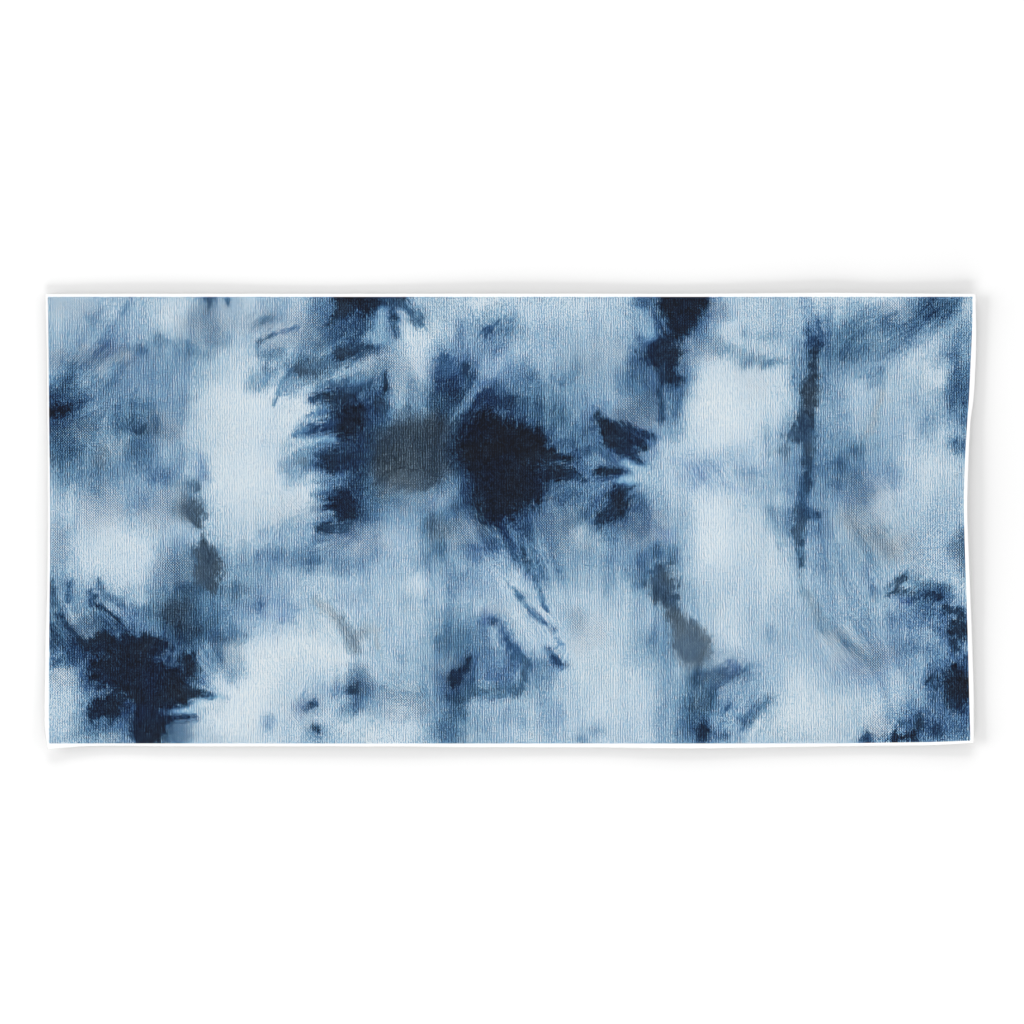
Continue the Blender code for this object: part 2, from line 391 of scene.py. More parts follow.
FAR_MIDDLE = (
    Pool(CLOUD, 73.4, 84.4, 2.2, 2.4, 0.5),
    Stroke(BARE, 60.5, 72.4, 0.7, 66.5, 75.2, 0.9, 0.56),
    Pool(CLOUD, 88.6, 70, 3.8, 2.4, 0.88, -0.1, 10),
    Pool(CLOUD, 90.5, 68, 3, 2.2, 0.92),
    Pool(CLOUD, 83.4, 68, 3.2, 3.2, 0.88),
    Pool(WET, 61.5, 88.2, 5.6, 2.6, 0.97),
    Stroke(WET, 59, 86.8, 1.7, 55.2, 83.2, 0.6, 0.88, 0.1),
    Pool(CLOUD, 59.5, 82, 3.4, 3.8, 0.76),
    Stroke(BARE, 66.3, 86.2, 0.8, 65.6, 81, 1.5, 0.42),
    Pool(CLOUD, 63.8, 80.8, 1.6, 1.2, 0.46, 0, 30),
    Stroke(WET, 65.5, 88.6, 1, 70, 88.4, 1.2, 0.82),
    Stroke(WET, 68.3, 87.2, 1.2, 68.8, 81.6, 0.6, 0.8),
    Stroke(WET, 70.6, 87.3, 0.7, 73.4, 84.4, 1.1, 0.7),
    Pool(CRISP, 73.9, 83.8, 1, 0.8, 0.68),
    Pool(CLOUD, 54, 79.5, 2, 1, 0.68),
    Pool(CLOUD, 52.2, 74.9, 3.4, 2.5, 0.76, 0.4),
    Stroke(WET, 49.5, 74.9, 0.7, 53, 74.2, 0.6, 0.76, 0.6),
    Stroke(WET, 53, 75.4, 0.6, 60, 75.5, 0.35, 0.68, 0.3),
    Stroke(CRISP, 47, 73.1, 0.3, 48.3, 74.2, 0.45, 0.66, 0.2),
    Stroke(WET, 58.5, 77.9, 1.5, 65.3, 79.5, 0.6, 0.84),
    Pool(WET, 58.2, 77.3, 1.5, 1, 0.92),
    Stroke(CLOUD, 57, 73.2, 0.9, 67.2, 77.4, 1.3, 0.36),
    Stroke(WET, 53.8, 71.5, 0.5, 59.2, 72.1, 0.35, 0.7, 0.1),
    Stroke(WET, 53.4, 69.2, 0.9, 60.5, 69, 1.4, 0.9),
    Stroke(CRISP, 52.2, 68.6, 0.25, 54.5, 68.6, 0.5, 0.8),
    Stroke(WET, 60, 70.3, 0.7, 66.2, 73.2, 0.5, 0.8),
    Stroke(CRISP, 66.8, 75.2, 0.15, 67, 70.6, 0.85, 0.95),
    Pool(WET, 59.4, 64.8, 3.4, 4, 0.98),
    Pool(CLOUD, 63.8, 66.4, 3, 2.6, 0.84),
    Pool(WET, 66, 67.8, 1.5, 2, 0.84),
    Stroke(CRISP, 51.2, 65.4, 0.3, 54.8, 66.4, 0.55, 0.62),
    Stroke(WET, 57.5, 63.8, 1.5, 51.5, 62.8, 0.8, 0.82),
    Stroke(CRISP, 51.5, 62.8, 0.7, 47.4, 61, 0.15, 0.62),
    Stroke(BARE, 56.6, 60.9, 0.15, 47, 59.6, 1, 0.3),
    Pool(CLOUD, 73.5, 78, 2.6, 5.5, 0.12),
    Pool(WET, 79, 75.2, 2, 2.8, 0.74),
    Pool(WET, 82.6, 74.4, 1.1, 2.6, 0.84),
    Pool(CLOUD, 80, 70.5, 3.6, 3.5, 0.88),
    Pool(CLOUD, 77.8, 66.5, 2.4, 4, 0.76, 0.1),
    Pool(CLOUD, 71.5, 66, 3.4, 1.8, 0.64, 0.3),
    Pool(CLOUD, 82, 81, 1.6, 3, 0.44, -0.2),
    Pool(WET, 86.7, 81.9, 0.8, 1.2, 0.8),
    Stroke(WET, 87, 82.6, 0.6, 88.8, 83.7, 0.3, 0.68),
    Pool(CLOUD, 87, 78, 1.8, 1.8, 0.58, -0.1),
    Pool(CLOUD, 88, 75, 2.8, 1.8, 0.3, -0.1, 35),
    Stroke(CLOUD, 80.5, 64.6, 0.5, 86.5, 72.5, 1, 0.46, -0.3),
)

FAR_RIGHT = (
    Pool(CLOUD, 162, 73.4, 4, 2, 0.52),
    Pool(CLOUD, 118.4, 67, 2.4, 2.6, 0.7, -0.1),
    Pool(CLOUD, 130.4, 80, 2.4, 2.4, 0.5),
    Pool(CLOUD, 151.5, 77, 3.6, 4.6, 0.68),
    Pool(CLOUD, 123.4, 63, 2.2, 2.2, 0.5),
    Pool(CLOUD, 106.6, 62.4, 2.6, 2.4, 0.75),
    Stroke(BARE, 116.2, 85, 1.8, 118.8, 81.8, 1.4, 0.42, -0.1),
    Pool(CLOUD, 114.6, 86.8, 3.4, 2.2, 0.26),
    Pool(CLOUD, 132, 85.4, 2.4, 2.2, 0.4),
    Pool(MIST, 152.2, 66, 4, 17, 0.52, 0, 3),
    Pool(CLOUD, 93, 72.5, 3.2, 2.4, 0.56, -0.1),
    Pool(CLOUD, 95.6, 73, 1, 1.3, 0.72),
    Pool(CLOUD, 101.2, 72.5, 1.8, 0.9, 0.62),
    Pool(CLOUD, 100.5, 64.5, 4, 2.6, 0.68, 0.2, -10),
    Pool(WET, 125.6, 88.2, 5.2, 3.2, 0.99),
    Stroke(WET, 126, 85.6, 3.6, 124.6, 81, 1.3, 0.98),
    Pool(CLOUD, 117.8, 87.8, 1.8, 1.4, 0.72),
    Stroke(CRISP, 119.8, 82.7, 0.3, 121.2, 80.4, 1, 0.9),
    Pool(WET, 121.2, 77.8, 3.4, 3.6, 0.94),
    Pool(WET, 124.2, 77.8, 1.2, 0.9, 0.94, 0, -50),
    Pool(CLOUD, 117.3, 76.3, 2, 2.6, 0.74, -0.1),
    Pool(WET, 122.9, 73.2, 2.2, 1.7, 0.92),
    Pool(CLOUD, 117.4, 70.4, 2.4, 2.2, 0.66),
    Pool(CLOUD, 122.5, 68.6, 2.4, 3.2, 0.6),
    Stroke(WET, 120.8, 70.4, 0.6, 121.4, 65.2, 0.7, 0.84),
    Stroke(CLOUD, 125.2, 72.5, 0.8, 124.2, 65.5, 1, 0.66, -0.2),
    Stroke(WET, 114.6, 72.6, 0.35, 117.6, 70.2, 0.5, 0.64),
    Stroke(WET, 109.2, 65, 1, 112.5, 61.5, 2.6, 0.95),
    Stroke(WET, 113, 62.6, 2, 119.6, 61.2, 0.4, 0.9),
    Pool(CLOUD, 134, 78.6, 2.6, 1.2, 0.44, 0, -20),
    Pool(CLOUD, 138.5, 76.2, 2.5, 1.8, 0.48),
    Stroke(CLOUD, 139, 76.2, 0.8, 149, 76, 0.8, 0.55),
    Stroke(CLOUD, 138, 81.6, 0.8, 148, 81.2, 0.8, 0.4),
    Stroke(CLOUD, 150.2, 83.5, 0.5, 149.8, 87.5, 1, 0.4, -0.3),
    Stroke(WET, 150.6, 82.6, 0.4, 151.2, 80.2, 0.9, 0.8),
    Stroke(WET, 152.4, 84.2, 0.5, 152.8, 80.6, 0.7, 0.74),
    Stroke(WET, 151.3, 80.5, 0.8, 153, 79.2, 0.8, 0.9),
    Stroke(WET, 151.3, 78.6, 1, 151, 71, 1.3, 0.87, 0.5),
    Stroke(WET, 150.6, 71, 1.5, 149.6, 65, 1.9, 0.85, 0.6),
    Stroke(WET, 149.4, 65, 1.6, 149, 61.5, 1.9, 0.82, 0.5),
    Stroke(CRISP, 148.4, 61.6, 1, 145.3, 61.7, 0.25, 0.72, 0.5),
    Pool(CLOUD, 159.5, 79, 6.2, 3.2, 0.66),
    Pool(CLOUD, 168.5, 82.6, 4.2, 2, 0.66, 0, 15),
    Pool(CLOUD, 166.6, 83.8, 1.4, 0.8, 0.74),
    Pool(CLOUD, 175.5, 87, 3.4, 2.2, 0.74, 0, 15),
    Pool(CLOUD, 172.5, 77, 4.2, 2.2, 0.2, 0, 45),
    Pool(CLOUD, 181.8, 86.5, 1.2, 2, 0.26),
    Pool(CLOUD, 181.2, 71, 1.8, 4, 0.7),
    Stroke(CLOUD, 152.5, 65.8, 0.9, 157.5, 65.4, 0.6, 0.42),
    Stroke(CLOUD, 164.5, 69.5, 0.7, 162.5, 62.5, 1, 0.4, 0.9),
)

MIDDLE_LEFT = (
    Pool(CLOUD, 40, 28.4, 3.6, 2, 0.56, -0.2),
    Pool(CLOUD, 3, 58.5, 3.4, 2.6, 0.7, 0.1),
    Pool(CLOUD, 10.8, 57.2, 1.6, 2.4, 0.62, 0.5, -15),
    Pool(CLOUD, 18.2, 58.8, 2.8, 2.2, 0.72, -0.1),
    Pool(CLOUD, 24.5, 58, 2.6, 1.6, 0.4, 0.1),
    Pool(CLOUD, 23, 53.8, 2.8, 1.2, 0.66, -0.2),
    Pool(CLOUD, 31, 55, 1.2, 3.2, 0.42, -0.6, 10),
    Pool(CLOUD, 9.5, 51.5, 1.6, 2.5, 0.5, 0, 10),
    Pool(CLOUD, 20, 48.2, 2.2, 1.6, 0.52, -0.1),
    Pool(CLOUD, 27.5, 52, 3, 1.3, 0.58, 0.5),
    Pool(WET, 29.6, 50.8, 1.3, 0.5, 0.7, 0.5, 15),
    Pool(WET, 30.2, 49, 0.7, 1, 0.64, 0.6),
    Pool(CLOUD, 27.8, 47.4, 2.8, 2.8, 0.76, 0.7, 20),
    Stroke(WET, 28.8, 47.2, 1.5, 31.5, 46.3, 0.4, 0.75, 0.8),
    Stroke(WET, 28.4, 46.2, 1.8, 30.4, 43.7, 0.6, 0.76, 0.8),
    Stroke(WET, 31, 41.8, 0.3, 31.2, 38.6, 1.9, 0.8, 0.8),
    Stroke(WET, 31.2, 38.2, 2.1, 31.8, 35.2, 3, 0.79, 0.8),
    Stroke(WET, 31.8, 35.2, 2.9, 32.6, 32.4, 1.7, 0.8, 0.7),
    Pool(CLOUD, 28.6, 36.4, 1.8, 2.6, 0.7, 0.1),
    Pool(CLOUD, 43.5, 37.4, 2.6, 1.4, 0.52, -0.3),
    Pool(CLOUD, 44.5, 42.3, 2.6, 1.2, 0.36, -0.2),
    Pool(CLOUD, 29, 31.2, 3.4, 1.4, 0.78, 0.1),
    Pool(CLOUD, 37.5, 31, 3.6, 1.4, 0.62, 0.3),
    Pool(CLOUD, 1, 31, 1, 2, 0.82),
    Stroke(WET, 4.4, 32.4, 0.6, 4.2, 28.4, 0.7, 0.72),
    Stroke(WET, 8.8, 31, 0.5, 9.2, 29.6, 0.8, 0.78),
    Stroke(CLOUD, 10.6, 32.4, 0.7, 11.6, 29.5, 0.9, 0.7, -0.1),
)

MIDDLE = (
    Pool(CLOUD, 86.6, 44.4, 2.2, 2.6, 0.8, -0.1, -20),
    Pool(CLOUD, 78.6, 44.2, 2.8, 2.4, 0.68, 0.3),
    Pool(CLOUD, 48.6, 43, 2.8, 2.6, 0.45, -0.1),
    Pool(CLOUD, 85, 39.4, 2.4, 1.8, 0.57, -0.3, -40),
    Pool(CLOUD, 67, 50.2, 3.4, 2, 0.7, 0.4),
    Pool(CLOUD, 49, 54, 2.6, 2.4, 0.42),
    Pool(CLOUD, 49.4, 56.8, 2.8, 1.6, 0.46),
    Pool(MIST, 52.5, 57.5, 2.2, 2, 0.66),
    Pool(CRISP, 50.7, 56.4, 1.6, 0.85, 0.6, 0.5, -8),
    Pool(CLOUD, 54, 59.2, 2.6, 1, 0.6, 0, 20),
    Pool(WET, 57.8, 57, 3.6, 2.6, 0.9, 0, 10),
    Stroke(CRISP, 53, 57.8, 0.3, 56, 57.4, 0.9, 0.9),
    Stroke(CRISP, 53.6, 55.7, 0.4, 57, 55.3, 1, 0.92),
    Pool(WET, 56.4, 56.2, 1.8, 1.3, 0.96, 0, -10),
    Pool(CLOUD, 61.5, 57.6, 3.4, 2.8, 0.8, 0.3),
    Pool(CLOUD, 62.5, 54.2, 3, 1.4, 0.62),
    Pool(CLOUD, 56, 53, 3, 1.2, 0.5),
    Stroke(CLOUD, 60, 62, 2.4, 61.5, 47, 2.2, 0.88, 0.2),
    Pool(WET, 58.8, 48, 2.7, 3, 0.94),
    Stroke(CRISP, 52.2, 50.2, 0.2, 57, 50, 0.45, 0.7),
    Pool(WET, 54.9, 43.4, 2, 1.2, 0.88, 0.2),
    Stroke(WET, 55, 43.2, 1.1, 59.8, 43, 0.9, 0.82, 0.1),
    Stroke(CLOUD, 53, 41.5, 0.8, 57.5, 41, 0.8, 0.58),
    Pool(CLOUD, 62, 40.5, 2.4, 1.6, 0.42),
    Pool(CLOUD, 51.8, 37.2, 2.2, 1.2, 0.62, -0.1),
    Pool(CLOUD, 47.5, 33.5, 3, 1.4, 0.32),
    Pool(CLOUD, 57, 32.5, 6, 2, 0.25),
    Pool(CLOUD, 72.5, 32.5, 3, 2, 0.16),
    Pool(CLOUD, 66, 61.2, 4, 2.6, 0.85, 0.5),
    Pool(CLOUD, 74, 62.4, 6.4, 3.2, 0.9, 0.9),
    Pool(CLOUD, 71, 56.6, 7, 4.2, 0.86, 1),
    Pool(CLOUD, 78.5, 58.6, 5.6, 4.6, 0.88, 0.8),
    Pool(CLOUD, 68, 53, 4.6, 2.2, 0.85, 1, -10),
    Pool(WET, 66, 52.8, 1.2, 0.9, 0.84, 0.8),
    Pool(CLOUD, 75, 52.6, 3.4, 2.6, 0.86, 0.9, 20),
    Pool(CRISP, 68.7, 56.9, 0.5, 0.7, 0.92, 0.8),
    Pool(CLOUD, 79.6, 50.8, 2.2, 1.4, 0.64),
    Pool(CLOUD, 72.5, 48.6, 3, 1.3, 0.56, 0.2),
    Pool(WET, 87.4, 59.5, 7, 7, 1, 0.1, 20),
    Pool(WET, 88.4, 51.6, 5.4, 7.4, 0.98, 0, 10),
    Pool(CLOUD, 84, 50.8, 2.6, 3.9, 0.89, 0.3),
    Pool(CLOUD, 82, 58.6, 2.8, 5.4, 0.9, 0.5),
    Pool(CLOUD, 81, 47.3, 1.5, 1.2, 0.82, 0.2),
    Stroke(CLOUD, 86.5, 46, 1.6, 91.8, 39.5, 1.2, 0.82, -0.1),
    Pool(CLOUD, 83.6, 42.6, 2.4, 1.6, 0.4, 0, -40),
    Pool(CLOUD, 77, 43.2, 2, 3, 0.62, 0.7),
    Pool(CLOUD, 78.2, 39.4, 1.2, 1, 0.7),
    Stroke(CLOUD, 80.4, 40, 0.8, 80.6, 30, 1.2, 0.5),
    Pool(CLOUD, 81.6, 34, 1, 1, 0.6, 0, -30),
)

MIDDLE_RIGHT = (
    Pool(CLOUD, 144.4, 46.4, 2.4, 1.6, 0.5),
    Pool(CLOUD, 117.2, 37, 2.8, 3, 0.63, -0.2),
    Pool(CLOUD, 102, 44, 4.4, 3, 0.64, -0.1),
    Pool(CLOUD, 102.4, 50.4, 3.8, 2.6, 0.7),
    Pool(CLOUD, 87.8, 41.2, 2.6, 2, 0.68, 0, -40),
    Pool(WET, 95, 59.4, 5.8, 3.9, 1, 0.1, -15),
    Pool(WET, 94, 53, 4.8, 5, 0.97),
    Stroke(WET, 96, 58, 2, 104.3, 56.9, 0.4, 0.96),
    Stroke(WET, 97, 53.6, 2.6, 104, 54.6, 1.4, 0.94, 0.1),
    Stroke(CRISP, 103.5, 54.2, 1.2, 106.2, 52.8, 0.4, 0.9),
    Pool(CLOUD, 102.5, 59.8, 3, 1.2, 0.78),
    Pool(CLOUD, 107.5, 60, 2.4, 1, 0.52),
    Stroke(WET, 106.4, 58.5, 0.4, 109.2, 58.9, 0.5, 0.66),
    Stroke(WET, 109.2, 58.8, 0.5, 111.8, 56.8, 0.4, 0.72),
    Pool(CLOUD, 108, 56.6, 2.6, 1.2, 0.5),
    Pool(WET, 114.2, 59.8, 4, 2, 0.95, 0, -10),
    Stroke(WET, 114, 58.4, 1.3, 117.6, 56, 0.45, 0.9),
    Stroke(BARE, 113.9, 56.2, 0.5, 118, 54.4, 1.1, 0.32),
    Stroke(WET, 109, 54.8, 0.8, 114.8, 54.4, 0.35, 0.94),
    Pool(WET, 111.3, 54.8, 2.4, 0.8, 0.93),
    Stroke(BARE, 113.6, 52.9, 0.7, 118.5, 53.2, 1.2, 0.32),
    Stroke(WET, 113.4, 51.2, 0.9, 116.3, 51.9, 0.25, 0.88),
    Pool(CLOUD, 109.5, 51.6, 2, 1.4, 0.56),
    Pool(WET, 113, 48.6, 2.5, 2.8, 0.95, 0, 20),
    Stroke(WET, 112, 47.4, 1.8, 109.4, 45.2, 1.4, 0.9, 0.1),
    Pool(CLOUD, 116.8, 47.2, 1.2, 1.2, 0.7, -0.1),
    Pool(CLOUD, 106, 46.5, 0.9, 0.9, 0.78),
    Pool(CLOUD, 107, 48.8, 1.5, 0.9, 0.66, 0, -20),
    Pool(CLOUD, 116.5, 42.5, 2.6, 2.4, 0.62),
    Pool(CLOUD, 105.8, 42.4, 2, 1.8, 0.3),
    Pool(CLOUD, 92.5, 45.5, 2.4, 3.6, 0.86),
    Pool(CLOUD, 94.5, 43, 2.2, 2.4, 0.86),
    Stroke(WET, 90.5, 39.6, 0.8, 94.5, 36.4, 0.7, 0.76),
    Stroke(WET, 92.8, 42, 0.5, 95.5, 35.8, 0.45, 0.82),
    Stroke(WET, 95.5, 35.8, 0.4, 98, 28.8, 0.35, 0.70, -0.1),
    Stroke(WET, 94.8, 40, 0.5, 97.6, 34, 0.6, 0.66),
    Pool(CLOUD, 93.2, 32.8, 2.4, 2.2, 0.18, 0, -35),
    Stroke(CRISP, 91.2, 32.4, 0.35, 94.2, 29.6, 0.4, 0.7, -0.1),
    Stroke(CLOUD, 121, 43.6, 0.6, 120.2, 38.6, 0.8, 0.72),
    Pool(CLOUD, 122.8, 38.4, 1.6, 2, 0.62),
    Stroke(WET, 123.2, 36.4, 0.9, 119.5, 34.8, 1, 0.76, 0.2),
    Pool(WET, 121.6, 32.4, 2.8, 3, 0.78, 0.6, -10),
    Pool(WET, 122.8, 31.6, 0.9, 1.8, 0.74, 0.7),
    Pool(CLOUD, 117, 33.5, 1.8, 2.2, 0.58),
    Stroke(WET, 150.2, 62, 1.3, 150, 57, 1, 0.79, 0.5),
    Stroke(WET, 150, 57, 1, 150.1, 51.5, 1.1, 0.82, 0.3),
    Stroke(WET, 149.6, 51.5, 1, 149, 48, 1, 0.76, 0.2),
    Pool(WET, 148.4, 45.6, 1.7, 2, 0.79, 0.4),
    Stroke(WET, 149.5, 46, 1, 152.6, 46, 0.4, 0.8, 0.1),
    Stroke(WET, 148.2, 43.6, 1.4, 148.8, 37, 0.6, 0.76, 0.2),
    Stroke(CLOUD, 148.8, 37, 0.6, 148.9, 30.5, 0.9, 0.5, 0.2),
    Stroke(CLOUD, 146.5, 59.4, 0.7, 143, 58, 0.7, 0.54, 0.7),
    Stroke(CLOUD, 145.4, 59.2, 0.6, 146.2, 56.6, 0.6, 0.58, 0.6),
    Pool(CLOUD, 146.4, 54, 1.8, 1, 0.5),
    Stroke(CLOUD, 137, 54.3, 0.8, 146, 54.6, 0.7, 0.38, -0.1),
    Pool(CLOUD, 145.8, 50.8, 1.8, 1, 0.5, -0.2),
    Stroke(CLOUD, 142, 47.3, 0.6, 147, 46.8, 0.8, 0.5),
    Pool(CLOUD, 159.8, 58.8, 1.6, 1.2, 0.72),
    Pool(CLOUD, 155.5, 54.5, 3.8, 2.2, 0.66, 0, -10),
    Pool(CLOUD, 155.2, 51.4, 1.5, 0.6, 0.7, 0, 10),
    Pool(CLOUD, 162, 50.5, 2.4, 1.2, 0.58, -0.1, 20),
    Pool(CLOUD, 165.5, 47, 2.6, 2, 0.28),
    Pool(CLOUD, 158, 46, 3, 1.8, 0.46, 0.3),
    Pool(CLOUD, 153.6, 43.2, 2.4, 1.4, 0.54),
    Stroke(CLOUD, 158.5, 44, 1.4, 166.5, 39, 1.6, 0.44, 0.9),
    Pool(CLOUD, 175.5, 55.2, 2.6, 1.8, 0.12),
    Pool(CLOUD, 180, 59.6, 2.2, 1.6, 0.68, 0, -30),
    Pool(CLOUD, 180.6, 39.4, 1.8, 3.4, 0.74),
    Pool(CLOUD, 181.4, 35, 1, 2, 0.64),
    Stroke(CLOUD, 161.5, 36, 0.6, 163, 31, 0.7, 0.54, -0.3),
    Stroke(WET, 169.6, 34, 0.5, 167.8, 32.2, 0.9, 0.8, 0.4),
    Stroke(WET, 166.4, 30.8, 0.4, 171.5, 30.9, 0.7, 0.82, 0.2),
    Stroke(CLOUD, 171.5, 32.4, 1.2, 177, 31, 1.4, 0.76, 0.1),
    Stroke(WET, 173, 30.6, 0.8, 176.2, 29.8, 0.8, 0.88),
)

NEAR_LEFT = (
    Pool(CLOUD, 3.2, 21.2, 2.6, 1.6, 0.86),
    Pool(CLOUD, 25.6, 3.2, 2.4, 2.2, 0.78, 0.3),
    Pool(CLOUD, 5.8, 18.2, 3.6, 2.1, 0.92),
    Pool(CLOUD, 36.8, 16, 2.2, 3.6, 0.42),
    Pool(CLOUD, 17.5, 8.2, 5, 2.8, 0.92),
    Pool(CLOUD, 33.4, 18.4, 2.2, 2, 0.6),
    Stroke(CLOUD, 1.2, 28.6, 0.8, 3, 24.6, 1.6, 0.8, 0.1),
    Stroke(WET, 2.4, 26.5, 0.5, 7, 21, 0.9, 0.88, 0.1),
    Pool(CLOUD, 4, 23.4, 5, 2, 0.84),
    Stroke(CLOUD, 2.8, 30.5, 0.6, 5.2, 25.4, 0.5, 0.34),
    Stroke(CLOUD, 6, 30.5, 1, 6.4, 26.5, 1.2, 0.44, 0.1),
    Pool(CLOUD, 7.4, 23.4, 1.6, 1.8, 0.54, 0.1, -30),
    Pool(CLOUD, 10, 24.6, 2.6, 2.2, 0.86, -0.2),
    Pool(CRISP, 9.1, 29.8, 0.5, 0.5, 0.94),
    Stroke(CRISP, 8.9, 28.4, 0.3, 10.4, 28.1, 0.45, 0.97),
    Stroke(CRISP, 10.4, 28.1, 0.45, 14.4, 25.2, 0.3, 0.96),
    Stroke(CLOUD, 12.8, 29.6, 0.7, 15, 28.2, 0.7, 0.66, -0.2),
    Pool(CLOUD, 18, 29.5, 2.2, 1.4, 0.28),
    Stroke(CLOUD, 14.5, 27, 0.8, 19.5, 23.8, 1, 0.46, -0.5),
    Pool(CLOUD, 18.6, 26.8, 1.2, 1, 0.58, -0.4),
    Pool(CLOUD, 26.2, 26, 3, 3.2, 0.86, 0.5, 10),
    Pool(CLOUD, 32, 25.4, 2.4, 2.4, 0.74, 0.1),
    Pool(CLOUD, 27.6, 22, 3.4, 2.6, 0.9, 0.5),
    Pool(CLOUD, 33.4, 21.5, 2.6, 1.8, 0.74, -0.1),
    Stroke(CLOUD, 36, 23.6, 1, 39, 22, 0.9, 0.6, -0.1),
    Stroke(CLOUD, 42.4, 26.6, 0.5, 46.5, 25.4, 0.5, 0.46, -0.6),
    Pool(WET, 15.8, 20.2, 9.5, 2.6, 0.96, 0, -4),
    Pool(CLOUD, 13, 23.2, 2.4, 1.6, 0.86, -0.1),
    Stroke(CLOUD, 12, 24, 0.5, 16.5, 23.5, 0.9, 0.82, -0.1),
    Stroke(CLOUD, 1, 20.4, 0.9, 7, 19.6, 1.2, 0.84),
    Pool(WET, 18.5, 14.8, 9.6, 5.6, 0.97, 0, -6),
    Pool(CLOUD, 26, 15.2, 3.6, 4, 0.93, 0.5),
    Pool(WET, 28.6, 16.5, 2, 2.8, 0.94, 0.3, 15),
    Pool(WET, 22.5, 10.4, 7.2, 2.4, 0.96, 0.1),
    Pool(CLOUD, 9.8, 16.2, 1.8, 1.2, 0.84, -0.4, 15),
    Stroke(WET, 28.6, 11.6, 0.9, 32, 10.5, 0.5, 0.9, 0.2),
    Stroke(CRISP, 32, 10.5, 0.5, 35.8, 9.8, 0.1, 0.72),
    Pool(CLOUD, 30.8, 13.2, 1.5, 1.6, 0.46, -0.4),
    Stroke(CLOUD, 30, 19, 0.8, 33.6, 15, 1.2, 0.46),
    Stroke(CRISP, 31.6, 18.8, 0.4, 33.2, 17.6, 0.4, 0.66),
    Pool(CLOUD, 8, 13, 1.6, 2.6, 0.6, -0.2, 35),
    Pool(CLOUD, 2.4, 17.2, 1.6, 1.4, 0.68),
    Pool(CLOUD, 3.2, 13.5, 2.6, 1.6, 0.32),
    Pool(WET, 11.6, 8.4, 3.6, 2.4, 0.97, 0, 5),
    Pool(CRISP, 9.6, 6.8, 1.5, 1.2, 0.97),
    Pool(CLOUD, 13, 4.6, 4, 1.8, 0.58, -0.1),
    Pool(CLOUD, 7, 6.4, 1.2, 1.4, 0.36),
    Pool(CLOUD, 12.8, 2, 3, 1, 0.42),
    Pool(WET, 21, 4.6, 4, 5, 0.96),
    Pool(CLOUD, 26.6, 2.8, 1.2, 2.4, 0.56, -0.1),
    Stroke(BARE, 25.2, 7.3, 0.25, 30.5, 7.5, 0.6, 0.28),
    Stroke(BARE, 30, 8.4, 0.8, 34, 8.6, 1.6, 0.14),
    Stroke(WET, 24, 5.6, 1.1, 29, 6.3, 0.1, 0.94),
    Stroke(CLOUD, 28.6, 4.6, 0.6, 31.5, 4.6, 1.4, 0.18),
    Pool(CLOUD, 44, 5.2, 1.6, 1.2, 0.44, -0.5),
)

